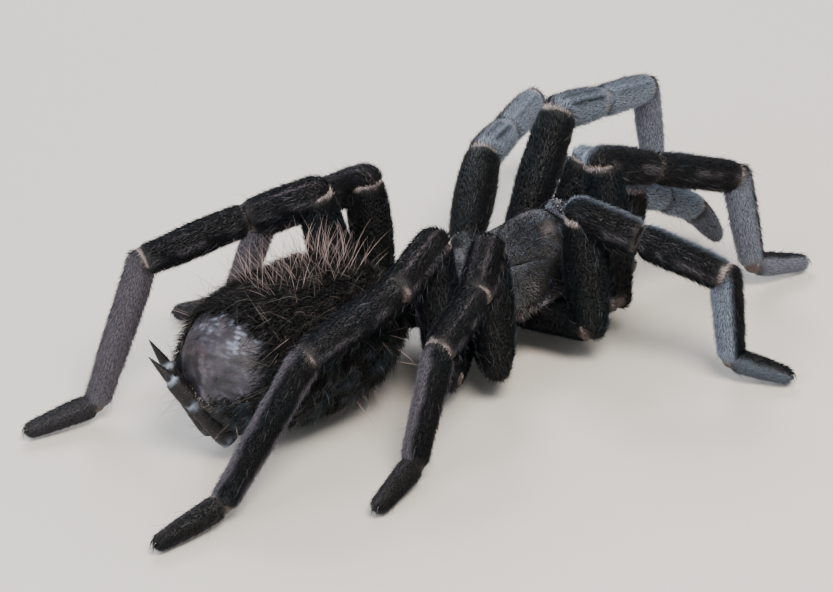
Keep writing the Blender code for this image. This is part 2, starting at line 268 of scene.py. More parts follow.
@dataclass
class Grid:
    """One tube or dome of skin as rings of points, with what the coat needs at each of them."""

    chart: Chart
    points: Array  # rings, sides, 3
    lie: Array  # the way the coat lies, same shape
    tint: Array  # colour of the hair, same shape
    hide: Array  # colour of the skin, same shape
    velvet: Array  # share of the short coat, rings and sides
    pile: Array  # length of the short coat in millimetres
    fringe: Array  # share of the pale fringe hairs
    bristle: Array  # share of the long hairs
    gloss: Array  # how bare and shiny the skin is
    owner: Array  # number of the article each ring belongs to
    family: int = 0  # number of the limb, or 0 for the trunk

    LAYERS = {  # kind of attribute and the name of its values, and the layers kept so
        ("FLOAT_COLOR", "color"): ("tint", "hide"),
        ("FLOAT_VECTOR", "vector"): ("lie",),
        ("FLOAT", "value"): ("velvet", "pile", "fringe", "bristle", "gloss"),
    }
    EVEN_PILE = 1.3

    @classmethod
    def plain(cls, chart: Chart, points: Array, lie: Array, tint: Tint) -> "Grid":
        """Makes a grid of bare cuticle with an even short coat.

        Args:
            chart: Its place on the unwrap.
            points: Rings of points.
            lie: The way the coat lies at each.
            tint: One hair colour.

        Returns:
            The grid.
        """
        shape = points.shape[:2]
        return cls(
            chart=chart,
            points=points,
            lie=lie,
            tint=np.broadcast_to(tint.rgb, points.shape).copy(),
            hide=np.broadcast_to(Tint.CUTICLE.rgb, points.shape).copy(),
            velvet=np.ones(shape),
            pile=np.full(shape, cls.EVEN_PILE),
            fringe=np.zeros(shape),
            bristle=np.zeros(shape),
            gloss=np.zeros(shape),
            owner=np.zeros(shape[0], int),
        )

    def dye(self, colour: Tint, mask: Array, shade: float = 1.0) -> None:
        """Mixes a colour, darkened by the shade, into the hair where the mask says."""
        self.tint += (colour.rgb * shade - self.tint) * np.clip(mask, 0.0, 1.0)[..., None]

    def stain(self, colour: Tint, mask: Array) -> None:
        """Mixes a colour into the skin where the mask says."""
        self.hide += (colour.rgb - self.hide) * np.clip(mask, 0.0, 1.0)[..., None]

    def shave(self, mask: Array) -> None:
        """Takes every kind of hair away where the mask is one."""
        keep = 1.0 - np.clip(mask, 0.0, 1.0)
        self.velvet *= keep
        self.fringe *= keep
        self.bristle *= keep

    def winding(self) -> slice:
        """The order of a face's corners that makes it look outward."""
        spots = self.points - self.points.mean(axis=(0, 1))
        beside = np.roll(spots, -1, 1)
        inside_out = float((np.cross(spots[:-1], beside[:-1]) * spots[1:]).sum()) < 0.0
        return slice(None, None, -1) if inside_out else slice(None)

    def heights(self) -> Array:
        """Height of each ring on the chart, spaced as the rings are on the skin."""
        steps = np.linalg.norm(np.diff(self.points, axis=0), axis=2).mean(axis=1)
        reach = np.concatenate([[0.0], np.cumsum(steps)])
        return POLE_ROOM + (1.0 - 2.0 * POLE_ROOM) * reach / max(reach[-1], 1e-6)

    def on_unwrap(self, spots: Array) -> Array:
        """Takes places on the chart, from nought to one, to the unwrap."""
        scale = np.array([self.chart.width, self.chart.height])
        return spots * scale + np.array([self.chart.left, self.chart.low])

    def quads(self, base: int) -> Faces:
        """Makes the four-sided faces between the rings.

        Args:
            base: Number of the grid's first vertex.

        Returns:
            The faces.
        """
        rings, sides = self.points.shape[:2]
        index = base + np.arange(rings * sides).reshape(rings, sides)
        near = index[:-1]
        far = index[1:]
        corners = np.stack([near, np.roll(near, -1, 1), np.roll(far, -1, 1), far], axis=2).reshape(-1, 4)
        heights = self.heights()
        low = np.broadcast_to(heights[:-1, None], near.shape)
        high = np.broadcast_to(heights[1:, None], near.shape)
        left = np.broadcast_to(np.arange(sides) / sides, near.shape)
        right = left + 1.0 / sides
        square = ((left, low), (right, low), (right, high), (left, high))
        spots = np.stack([np.stack(corner, axis=2) for corner in square], axis=2).reshape(-1, 4, 2)
        order = self.winding()
        return Faces(corners[:, order], self.on_unwrap(spots)[:, order])

    def fan(self, base: int, at_end: bool) -> Faces:
        """Makes the triangles between an outermost ring and its pole.

        Args:
            base: Number of the grid's first vertex.
            at_end: Whether it is the last ring rather than the first.

        Returns:
            The faces.
        """
        rings, sides = self.points.shape[:2]
        ring = rings - 1 if at_end else 0
        first = base + ring * sides + np.arange(sides)
        second = np.roll(first, -1)
        near = np.arange(sides) / sides
        far = near + 1.0 / sides
        pole = np.full(sides, base + rings * sides + int(at_end))
        level = np.full(sides, self.heights()[ring])
        top = np.stack([near + 0.5 / sides, np.full(sides, float(at_end))], axis=1)
        ends = [(first, near), (second, far)]
        if not at_end:
            ends.reverse()
        corners = np.stack([*(number for number, _ in ends), pole], axis=1)
        spots = np.stack([*(np.stack([place, level], axis=1) for _, place in ends), top], axis=1)
        order = self.winding()
        return Faces(corners[:, order], self.on_unwrap(spots)[:, order])

    def with_poles(self, values: Array) -> Array:
        """Lists a layer's values ring by ring, then their means at the first and the last ring."""
        rows = values.reshape(values.shape[0] * values.shape[1], -1)
        poles = [values[ring].mean(axis=0).reshape(-1) for ring in (0, -1)]
        return np.concatenate([rows, np.array(poles)])


def link_object(name: str, data: bpy.types.ID) -> Piece:
    """Makes an object from a mesh, a camera or a light and links it to the scene."""
    made = bpy.data.objects.new(name, data)
    bpy.context.scene.collection.objects.link(made)
    return made


def mesh_of_grids(name: str, grids: Sequence[Grid]) -> Piece:
    """Joins grids into one mesh object with the unwrap and the coat's attributes.

    Args:
        name: The object's name.
        grids: The grids; each is closed at both ends by a pole.

    Returns:
        The new object, in metres.
    """
    quads: list[Faces] = []
    fans: list[Faces] = []
    base = 0
    for grid in grids:
        quads.append(grid.quads(base))
        fans.extend(grid.fan(base, at_end) for at_end in (False, True))
        base += grid.points.shape[0] * grid.points.shape[1] + 2
    points = np.concatenate([grid.with_poles(grid.points) for grid in grids]) * MM
    loops = np.concatenate([block.corners.reshape(-1) for block in (*quads, *fans)])
    spots = np.concatenate([block.spots.reshape(-1) for block in (*quads, *fans)])
    sizes = np.concatenate([np.full(len(block.corners), block.corners.shape[1]) for block in (*quads, *fans)])
    data = bpy.data.meshes.new(name)
    data.vertices.add(len(points))
    data.vertices.foreach_set("co", points.astype(np.float32).reshape(-1))
    data.loops.add(len(loops))
    data.loops.foreach_set("vertex_index", loops.astype(np.int32))
    data.polygons.add(len(sizes))
    data.polygons.foreach_set("loop_start", (np.cumsum(sizes) - sizes).astype(np.int32))
    data.update(calc_edges=True)
    data.uv_layers.new(name=UNWRAP).data.foreach_set("uv", spots.astype(np.float32))
    add_layers(data, grids)
    data.shade_smooth()
    data.validate()
    return link_object(name, data)


def add_layers(data: bpy.types.Mesh, grids: Sequence[Grid]) -> None:
    """Writes the grids' colours, vectors and shares on a mesh as point attributes.

    Args:
        data: The mesh, whose vertices follow the order of the grids.
        grids: The grids.
    """
    for (kind, held), keys in Grid.LAYERS.items():
        for key in keys:
            values = np.concatenate([grid.with_poles(getattr(grid, key)) for grid in grids])
            if held == "color":
                values = np.concatenate([values, np.ones((len(values), 1))], axis=1)
            layer = data.attributes.new(key, kind, "POINT")
            layer.data.foreach_set(held, values.astype(np.float32).reshape(-1))


# ---- limbs
@dataclass(frozen=True)
class Article:
    """One article of a limb: its axis, the way its back faces, and its coat radii."""

    name: str
    start: Array
    end: Array
    ahead: Array
    above: Array
    radii: tuple[float, float]
    swell: float

    @property
    def length(self) -> float:
        """Distance between its two joints."""
        return float(np.linalg.norm(self.end - self.start))


@dataclass(frozen=True)
class Ring:
    """One ring of a limb's skin."""

    centre: Array
    ahead: Array
    above: Array
    radius: float
    article: int
    past: float  # straight length past the article's first joint
    before: float  # length left to its last joint
    arc: float  # length of the bend that lies behind it, measured on the back


@dataclass(frozen=True)
class LegBuild:
    """Article lengths of one pair of legs, and how far forward and out the hip sits."""

    lengths: tuple[float, float, float, float, float]
    forward: float
    out: float


@dataclass(frozen=True)
class Stance:
    """Joint angles of one limb in degrees."""

    azimuth: float
    rise: float
    twist: float
    knee: float
    sweep: float
    wrist: float = 0.0


@dataclass(frozen=True)
class Markings:
    """Where a limb is painted lighter: painted sheen on its hair, and on metatarsus and tarsus the real grey
    sole pads.
    """

    sole_pads_and_sheen: tuple[float, float]  # how much the flanks of metatarsus and tarsus are lightened: partly real grey sole pads, mostly painted sheen
    light: Tint = Tint.GREY_LILAC
    stripe: tuple[float, float, float] = (0.0, 0.8, 0.5)  # turn of their stripe in degrees, and its edges
    streaks: tuple[float, float] = (-24.0, 24.0)  # where the two lines on patella and tibia run, in degrees
    inner_light: float = 0.0  # how much painted sheen lightens the inner sides of patella and tibia
    light_edge: float = 0.15  # where that painted sheen begins, from -1 at the outer side to 1 at the inner


LEG_BUILDS = {
    1: LegBuild((20.5, 10.5, 14.5, 14.0, 8.5), 15.5, 12.5),
    2: LegBuild((17.6, 9.0, 13.5, 13.0, 8.0), 8.0, 16.5),
    3: LegBuild((17.0, 9.0, 11.0, 16.0, 9.0), -8.3, 16.0),
    4: LegBuild((19.5, 10.5, 16.5, 23.0, 10.0), -15.3, 13.5),
}
LEG_STANCES = {
    (Side.RIGHT, 1): Stance(54, 83, -47, 109, 14),
    (Side.RIGHT, 2): Stance(-57, 88, 2, 108, 5),
    (Side.RIGHT, 3): Stance(-139, 98, 2, 116, 17),
    (Side.RIGHT, 4): Stance(-129, 99, -26, 111, 22),
    (Side.LEFT, 1): Stance(20, 48, -3, 61, -6),
    (Side.LEFT, 2): Stance(42, 27, -19, 29, -4),
    (Side.LEFT, 3): Stance(125, 91, -5, 114, -10),
    (Side.LEFT, 4): Stance(174, 82, -12, 90, -7),
}
# The light greys, lilac and blue of these markings are painted sheen; the lines along patella and tibia are
# real.
LEG_MARKINGS = {
    1: Markings((1.0, 0.95), Tint.LAVENDER, streaks=(28.0, 62.0), inner_light=1.0),
    2: Markings((0.95, 0.45), Tint.GREY_BLUE, streaks=(28.0, 62.0), inner_light=1.0),
    3: Markings((0.85, 0.22), stripe=(55.0, 0.75, 0.5)),
    4: Markings((0.8, 0.18), stripe=(60.0, 0.75, 0.5)),
}
HIP_DROP = 3.0  # how far the hips sit under the carapace rim
PALP_HIP = (19.4, 8.0)  # how far forward and out a palp's hip sits


def bend(ahead: Array, above: Array, angle: float) -> tuple[Array, Array]:
    """Turns a limb's direction away from its back by an angle in radians."""
    cosine = math.cos(angle)
    sine = math.sin(angle)
    return cosine * ahead - sine * above, sine * ahead + cosine * above


@dataclass
class Limb:
    """A leg or a palp as a chain of articles, with its skin and its coat's markings."""

    side: Side
    prefix: str
    family: int
    chart: Chart
    names: tuple[str, ...]
    lengths: tuple[float, ...]
    hip: tuple[float, float]  # forward and out in body axes
    stance: Stance
    radii: tuple[float, ...]
    swells: tuple[float, ...]
    coxa_radius: float
    markings: Markings
    depth: float = 0.70
    sides: int = 30
    heights: tuple[float, float] | None = (2.9, 1.7)  # of the last two joints over the floor, on a leg
    articles: list[Article] = field(default_factory=list)

    KNEE = 1  # place of the article that the knee turns
    SHIN = 2  # place of the article that swings aside
    WRIST = 3  # place of the first article that comes down to the floor
    RING_STEP = 0.62  # skin between two rings
    BEND_STEP = 11.0  # degrees between two rings of a joint
    FAR = 9.0  # stands for a joint that isn't there
    RIM_WIDTHS = (0.26, 0.36, 0.14, 0.24, 0.22, 0.0)  # pale rim at the far end of each article, coxa first

    def __post_init__(self) -> None:
        """Lays out the articles."""
        self.articles = self.chain()

    def coxa(self) -> Article:
        """Lays out the coxa, from inside the body to the hip."""
        forward, out = self.hip
        inner = BODY.place((forward * 0.42, out * 0.30 * self.side.value, -HIP_DROP - 0.6))
        hip = BODY.place((forward, out * self.side.value, -HIP_DROP))
        reach = unit(hip - inner)
        up = np.array([0.0, 0.0, 1.0])
        above = unit(up - reach * float(up @ reach))
        return Article("coxa", inner, hip, reach, above, (self.coxa_radius,) * 2, 0.1)

    def chain(self) -> list[Article]:
        """Works out every article from the hip and the joint angles, the coxa first."""
        stance = self.stance
        found = [self.coxa()]
        ahead = BODY.heading_vector(stance.azimuth, stance.rise)
        above = BODY.heading_vector(stance.azimuth, stance.rise + 90.0)
        lean = math.radians(stance.twist)
        above = math.cos(lean) * above + math.sin(lean) * np.cross(ahead, above)
        at = found[0].end
        for k, (name, length) in enumerate(zip(self.names, self.lengths, strict=True)):
            if k == self.KNEE:
                ahead, above = bend(ahead, above, math.radians(stance.knee))
            if k == self.SHIN:
                swing = math.radians(stance.sweep)
                ahead = math.cos(swing) * ahead + math.sin(swing) * np.cross(ahead, above)
            if k >= self.WRIST and self.heights is not None:
                fall = (self.heights[k - self.WRIST] - at[2]) / length
                steepest = math.hypot(ahead[2], above[2])
                phase = math.atan2(above[2], ahead[2])
                ahead, above = bend(ahead, above, math.acos(max(-1.0, min(1.0, fall / steepest))) - phase)
            elif k == self.WRIST:
                ahead, above = bend(ahead, above, math.radians(stance.wrist))
            end = at + ahead * length
            radii = (self.radii[k], self.radii[k + 1])
            found.append(Article(name, at, end, ahead, above, radii, self.swells[k]))
            at = end
        return found

    def capsules(self) -> list[tuple[int, int, Array, Array, float]]:
        """Family, number, two ends and skin radius of each article, for finding buried skin."""
        return [
            (self.family, number, part.start, part.end, 0.5 * sum(part.radii) - self.depth)
            for number, part in enumerate(self.articles)
        ]

    def rings(self) -> list[Ring]:
        """Lays rings of skin along the articles, round the joints between them and over the tip."""
        found = []
        arc = 0.0
        for number, part in enumerate(self.articles):
            found += self.shaft_rings(part, number, arc)
            if part is self.articles[-1]:
                break
            after = self.articles[number + 1]
            angle = math.acos(max(-1.0, min(1.0, float(part.ahead @ after.ahead))))
            arc = angle * (after.radii[0] - self.depth)
            found += self.joint_rings(part, after, number + 1, angle)
        return found + self.tip_rings(arc)

    def shaft_rings(self, part: Article, number: int, arc: float) -> list[Ring]:
        """Rings along one article, closer together at its ends.

        Args:
            part: The article.
            number: Its number.
            arc: Length of the bend behind it.

        Returns:
            The rings.
        """
        found = []
        count = max(6, round(part.length / self.RING_STEP))
        even = np.linspace(0.0, 1.0, count + 1)
        gathered = 0.5 - 0.5 * np.cos(np.linspace(0.0, math.pi, count + 1))
        for share in 0.35 * gathered + 0.65 * even:
            radius = part.radii[0] + (part.radii[1] - part.radii[0]) * share
            radius += part.swell * math.sin(math.pi * share) - self.depth
            past = share * part.length
            centre = part.start + part.ahead * past
            found.append(Ring(centre, part.ahead, part.above, radius, number, past, part.length - past, arc))
        return found

    def joint_rings(self, part: Article, after: Article, number: int, angle: float) -> list[Ring]:
        """Rings that turn round the joint between two articles.

        Args:
            part: The article before the joint.
            after: The article after it.
            number: The number of the article after it.
            angle: How far the joint is bent, in radians.

        Returns:
            The rings.
        """
        found = []
        radius = after.radii[0] - self.depth
        turns = int(math.degrees(angle) / self.BEND_STEP)
        for step in range(1, turns + 1):
            share = step / (turns + 1)
            ahead = unit(part.ahead * (1.0 - share) + after.ahead * share)
            above = part.above * (1.0 - share) + after.above * share
            above = unit(above - ahead * float(above @ ahead))
            arc = share * angle * radius
            found.append(Ring(part.end, ahead, above, radius, number, 0.0, after.length, arc))
        return found

    def tip_rings(self, arc: float) -> list[Ring]:
        """Rings of the round tip; arc is the length of the bend behind the last article."""
        tip = self.articles[-1]
        last = len(self.articles) - 1
        radius = tip.radii[1] - self.depth
        found = []
        for share in (0.25, 0.5, 0.7, 0.85, 0.95):
            centre = tip.end + tip.ahead * (radius * share)
            size = radius * math.sqrt(1.0 - share**2)
            found.append(Ring(centre, tip.ahead, tip.above, size, last, tip.length, 0.0, arc))
        return found

    def grid(self) -> Grid:
        """Builds the limb's skin, coat shares and colours."""
        rings = self.rings()
        centre, ahead, above, radius, owner, straight, before, arc = (
            np.array([getattr(ring, part.name) for ring in rings])[:, None] for part in fields(Ring)
        )
        aside = np.cross(ahead, above)
        around = circle(self.sides)
        back = -np.cos(around)[None, :]  # one on the back, minus one under
        across = np.sin(around)[None, :]
        outer = np.where(owner == 1, -back, back)  # the hip bends upward, the other joints down
        past = straight + arc * np.maximum(outer, 0.0)
        free = np.where(owner == len(self.articles) - 1, self.FAR, before)
        lip = 0.04 * bump(free, 0.9, 0.5) - (0.12 - 0.08 * back) * bump(free, 0.0, 0.35)
        neck = -(0.13 - 0.09 * back) * bump(past, 0.15, 0.6)
        shape = 1.0 + np.where(owner > 0, lip + neck, 0.0)
        outward = across[..., None] * aside * 0.97 + back[..., None] * above
        points = centre + (radius * shape)[..., None] * outward
        points += (0.06 * ripple(points, 3.0, self.family))[..., None] * unit(points - centre)
        lie = np.broadcast_to(ahead, points.shape).copy()
        grid = Grid.plain(self.chart, points, lie, Tint.VELVET)
        grid.owner = owner[:, 0]
        grid.family = self.family
        whole = np.ones_like(past)
        self.mark(grid, back * whole, across * self.side.value * whole, past, free * whole)
        return grid

    def mark(self, grid: Grid, back: Array, inward: Array, past: Array, free: Array) -> None:
        """Paints the limb's markings, painted sheen among them, and sets how long and thick its coat is.

        Args:
            grid: The skin to paint.
            back: One on the back of the limb, minus one under it.
            inward: One at its inner side, minus one at its outer side.
            past: Length past the article's first joint.
            free: Length left to the article's far rim, large on the last article.
        """
        owner = np.broadcast_to(grid.owner[:, None], past.shape)
        patchy = ripple(grid.points, 1.7, self.family + 40)
        brown = smooth(ripple(grid.points, 5.0, self.family + 30), 0.1, 0.9)
        grid.dye(Tint.TEAL, smooth(ripple(grid.points, 6.0, self.family + 20), -0.2, 0.6))
        grid.dye(Tint.PURPLE_BROWN, brown * 0.35)
        for number, name in enumerate(self.names, start=1):
            here = (owner == number).astype(float)
            if name in ("patella", "tibia"):
                grid.dye(Tint.PURPLE_BROWN, here * 0.3)
                edge = self.markings.light_edge
                # Painted sheen: the inner sides of patella and tibia are lighter grey-blue in hair and skin.
                inside = here * self.markings.inner_light * smooth(inward, edge - 0.4, edge + 0.4)
                grid.dye(Tint.GREY_BLUE, inside * 0.9)
                grid.stain(Tint.GREY_BLUE, inside * 0.3)
                ends = smooth(np.minimum(past, free), 1.0, 2.2) * (1.0 if name == "patella" else 0.5)
                self.mark_streaks(grid, np.degrees(np.arctan2(inward, back)), here * ends)
                seam = here * bump(back, 0.05, 0.16) * smooth(patchy, -0.2, 0.4)
                grid.dye(Tint.SEAM, seam * 0.5)
            if name in ("metatarsus", "tarsus"):
                start, full = self.markings.stripe[1:]
                turn = math.radians(self.markings.stripe[0])
                turned = back * math.cos(turn) + inward * math.sin(turn)
                # Painted sheen over the real grey sole pads: metatarsus and tarsus lighter on the flanks, a
                # dark stripe left along the back.
                sole_and_sheen = smooth(turned + 0.10 * patchy, start, full) * smooth(past, 0.0, 1.6)
                share = here * sole_and_sheen * self.markings.sole_pads_and_sheen[name == "tarsus"]
                grid.dye(self.markings.light, share)
                grid.stain(self.markings.light, share * 0.3)
                grid.pile += here * (0.10 - 0.35 * (name == "tarsus") - 0.22 * sole_and_sheen)
                grid.velvet *= 1.0 + here * 0.25 * sole_and_sheen
        self.bare_joints(grid, back, past, free, patchy)
        grid.bristle += np.where(owner > 0, 0.25 + 0.75 * smooth(back, 0.2, -0.5), 0.05)
        grid.bristle *= np.where(owner == len(self.names), 0.4, 1.0)

    def mark_streaks(self, grid: Grid, angle: Array, where: Array) -> None:
        """Draws the two lines along an article: dark hair on limbs lightened by painted sheen, bald skin on
        dark ones.

        Args:
            grid: The skin to paint.
            angle: Degrees around the limb, nought on the back and ninety at the inner side.
            where: Share of the line that shows.
        """
        on_sheen = self.markings.inner_light > 0.0
        width = 8.5 if on_sheen else 6.0
        first, second = self.markings.streaks
        line = where * (bump(angle, first, width) + bump(angle, second, width))
        if on_sheen:
            grid.dye(Tint.STREAK_DARK, line)
            grid.stain(Tint.STREAK_DARK, line)
            grid.pile *= 1.0 - 0.15 * line
        else:
            grid.stain(Tint.STREAK, line)
            grid.velvet *= 1.0 - 0.7 * line
            grid.gloss += line

    def bare_joints(self, grid: Grid, back: Array, past: Array, free: Array, patchy: Array) -> None:
        """Bares the joints and sets the pale rim of hair at the far end of each article.

        Args:
            grid: The skin to paint.
            back: One on the back of the limb, minus one under it.
            past: Length past the article's first joint.
            free: Length left to the article's far rim.
            patchy: Noise that wears the edges.
        """
        jointed = grid.owner[:, None] > 0
        widths = np.array(self.RIM_WIDTHS)[grid.owner][:, None]
        rim = smooth(free + 0.30 * patchy, widths + 0.16, widths - 0.12) * (widths > 0.0)
        rim = rim * smooth(back, -0.5, 0.1) * smooth(ripple(grid.points, 2.2, self.family + 60), -0.7, 0.3)
        fold = jointed * smooth(past, 0.38, 0.12) * smooth(back, 0.9, 0.4)
        near = np.minimum(np.where(jointed, past, self.FAR), free) + 0.15 * patchy
        under = smooth(near, 0.62, 0.30) * smooth(back, 0.05, -0.35)
        bare = np.maximum(fold, under)
        grid.stain(Tint.RIM, rim)
        grid.stain(Tint.MEMBRANE, bare)
        grid.pile *= 1.0 - 0.55 * smooth(free, 1.9, 0.7) * (widths > 0.0)
        grid.shave(np.maximum(bare, 0.75 * rim))
        grid.dye(Tint.FRINGE, 0.8 * rim)
        grid.fringe += 0.9 * rim


def make_leg(side: Side, number: int) -> Limb:
    """Builds one walking leg.

    Args:
        side: The side it stands on.
        number: One for the front pair to four for the hind pair.

    Returns:
        The leg.
    """
    build = LEG_BUILDS[number]
    slot = len(LEG_BUILDS) * (side is Side.RIGHT) + number - 1  # its strip on the unwrap
    return Limb(
        side=side,
        prefix=f"leg_{side.word}_{number}",
        family=slot + 1,
        chart=Chart(0.004 + 0.1245 * slot, 0.004, 0.118, 0.592),
        names=("femur", "patella", "tibia", "metatarsus", "tarsus"),
        lengths=build.lengths,
        hip=(build.forward, build.out),
        stance=LEG_STANCES[side, number],
        radii=(3.00, 3.25, 3.00, 2.80, 2.40, 1.90),
        swells=(0.65, 0.20, 0.15, 0.10, 0.15),
        coxa_radius=3.05,
        markings=LEG_MARKINGS[number],
    )


def make_palp(side: Side, slot: int) -> Limb:
    """Builds one palp; its last article ends in the air.

    Args:
        side: The side it grows on.
        slot: Its strip on the unwrap.

    Returns:
        The palp.
    """
    return Limb(
        side=side,
        prefix=f"palp_{side.word}",
        family=slot + 11,
        chart=Chart(0.570 + 0.085 * slot, 0.610, 0.080, 0.385),
        names=("femur", "patella", "tibia", "tarsus"),
        lengths=(13.0, 7.0, 9.0, 8.0),
        hip=PALP_HIP,
        stance=Stance(-14.8 * side.value, 64.0, 0.0, 96.0, 0.0, wrist=24.0),
        radii=(2.00, 2.50, 2.52, 2.40, 1.70),
        swells=(0.35, 0.15, 0.10, 0.25),
        coxa_radius=2.0,
        # The palps' pale lavender is painted sheen.
        markings=Markings((0.8, 0.8), Tint.LAVENDER, inner_light=1.0, light_edge=-2.0),
        depth=0.55,
        sides=24,
        heights=None,
    )


# ---- trunk
@dataclass
class Carapace:
    """The dorsal shield: a dome with a raised head, a pit behind it and grooves that run out from the pit."""

    front: float = 17.8
    back: float = 11.8
    half_width: float = 11.6
    dome: float = 3.8
    caput: float = 4.4
    caput_at: float = 13.0
    caput_reach: float = 6.0
    caput_half_width: float = 8.0
    depth: float = 0.35
    pit: float = -1.0
    groove: float = 0.42
    cheek: tuple[float, float] = (10.9, 3.2)  # forward and out, a worn spot on each side of the head
    sides: int = 120
    chart: Chart = Chart(0.742, 0.610, 0.188, 0.188)

    GROOVES = ((33.0, 1.25), (68.0, 0.9), (103.0, 0.9), (140.0, 0.8))  # degrees off the front, and strength
    UNDER_LEVELS = (0.3, 0.7, 0.93, 0.985)  # rings under the rim, from the middle out

    def edge(self, forward: Array) -> Array:
        """Half width of the rim at stations along the shield."""
        reach = np.where(forward > 0, self.front, self.back)
        share = np.minimum(np.abs(forward) / reach, 1.0)
        taper = np.where(forward > 0, 1.0 - 0.16 * forward / self.front, 1.0)
        return self.half_width * (1.0 - share**2.5) ** (1 / 2.3) * taper

    def rise(self, forward: Array | float, left: Array | float = 0.0) -> Array:
        """Height of the dome over the rim, before it falls away to the edges."""
        raised = self.caput * bump(forward, self.caput_at, self.caput_reach)
        raised = raised * bump(left, 0.0, self.caput_half_width)
        return self.dome + raised - 0.05 * np.maximum(0.0, -np.asarray(forward))

    def fall(self, level: Array | float, spread: Array | float) -> Array:
        """Share of the dome's height left at a level from middle to edge; steep only at the face."""
        return (1.0 - level ** (2.0 + 8.0 * np.maximum(0.0, spread))) ** 0.7

    def relief(self, forward: Array, left: Array) -> Array:
        """How much the pit and the grooves lower the surface."""
        ahead = forward - self.pit
        reach = np.hypot(ahead, left)
        angle = np.degrees(np.arctan2(np.abs(left), ahead))
        depth = 1.0 * bump(ahead, 0.0, 0.75) * bump(left, 0.0, 2.1)
        window = smooth(reach, 1.2, 3.5) * smooth(reach, 13.0, 9.0)
        for direction, strength in self.GROOVES:
            away = np.radians(angle - direction) * reach
            depth = depth + self.groove * strength * window * bump(away, 0.0, 0.62)
        return depth

    def grid(self) -> Grid:
        """Builds the shield, from its under side round the rim to the top."""
        around = circle(self.sides)
        spread = np.sign(np.cos(around)) * np.abs(np.cos(around)) ** 0.85
        station = spread * np.where(spread > 0, self.front, self.back)
        half = self.edge(station * 0.995) * np.sign(np.sin(around) + 1e-12)
        half = np.where(np.abs(np.sin(around)) < 1e-6, 0.0, half)
        inset = 1.0 - self.depth / self.half_width
        folded = len(self.UNDER_LEVELS)
        levels = np.concatenate([self.UNDER_LEVELS, 1.0 - np.linspace(0.0, 1.0, 46)[:-1] ** 1.25])
        rings = []
        for number, level in enumerate(levels):
            forward = station * level * inset
            left = half * level * inset
            if number < folded:
                up = np.full(self.sides, -1.05 + 0.25 * (level > 0.98))
            else:
                up = self.rise(forward, left) * self.fall(level, spread) - self.relief(forward, left)
                up = np.maximum(up, -0.2) - 0.35 - self.depth * (1.0 - level**4)
            rings.append(np.stack([forward, left, up], axis=1))
        local = np.array(rings)
        out = local.copy()
        out[..., 0] -= self.pit
        out[..., 2] = 0.0
        lie = unit(out * np.array([1.0, 1.0, 0.0]) + np.array([-1.5, 0.0, 0.0]))
        points = BODY.place(local)
        grid = Grid.plain(self.chart, points, BODY.direct(lie), Tint.CARAPACE)
        self.mark(grid, local)
        under = np.broadcast_to((np.arange(len(levels)) < folded - 1)[:, None], grid.velvet.shape)
        rim = smooth(levels, 0.90, 1.0)[:, None] * (1.0 - under)
        grid.pile += 0.9 * rim
        grid.dye(Tint.FRINGE, rim * 0.3, 0.5)
        grid.bristle += 0.12 + 0.5 * rim
        grid.gloss += 0.5
        grid.shave(under)
        return grid

    def mark(self, grid: Grid, local: Array) -> None:
        """Paints rays from the pit and scattered specks as painted glints, a painted highlight over the top
        of the dome, worn cheeks and dark grooves.

        Args:
            grid: The skin to paint.
            local: The skin's points in body axes.
        """
        forward, left, up = parts(local)
        ahead = forward - self.pit
        # Painted glint: pale rays running out from the pit.
        streaks = np.sin(np.arctan2(left, ahead) * 41.0 + 2.0 * ripple(local, 4.0, 71))
        streaks = streaks * smooth(np.hypot(ahead, left), 1.5, 5.0)
        grid.dye(Tint.GLINT, 0.12 * smooth(streaks, 0.4, 1.0))
        # Painted highlight: the top of the dome lighter.
        crown_highlight = smooth(up, 2.6, 4.6) * smooth(ripple(local, 0.8, 73), 0.3, 1.0)
        grid.dye(Tint.GLINT, crown_highlight * 0.26)
        # Painted glint: fine pale specks all over.
        grid.dye(Tint.GLINT, smooth(ripple(local, 0.45, 77), 0.75, 1.1) * 0.6)
        cheek = np.hypot(forward - self.cheek[0], np.abs(left) - self.cheek[1])
        bare = 0.55 * smooth(cheek + 0.5 * ripple(local, 1.2, 75), 1.6, 0.3)
        grid.stain(Tint.CAPUT, bare)
        grid.velvet *= 1.0 - 0.8 * bare
        grid.dye(Tint.VELVET, smooth(self.relief(forward, left), 0.1, 0.4))
        grid.pile *= 0.40


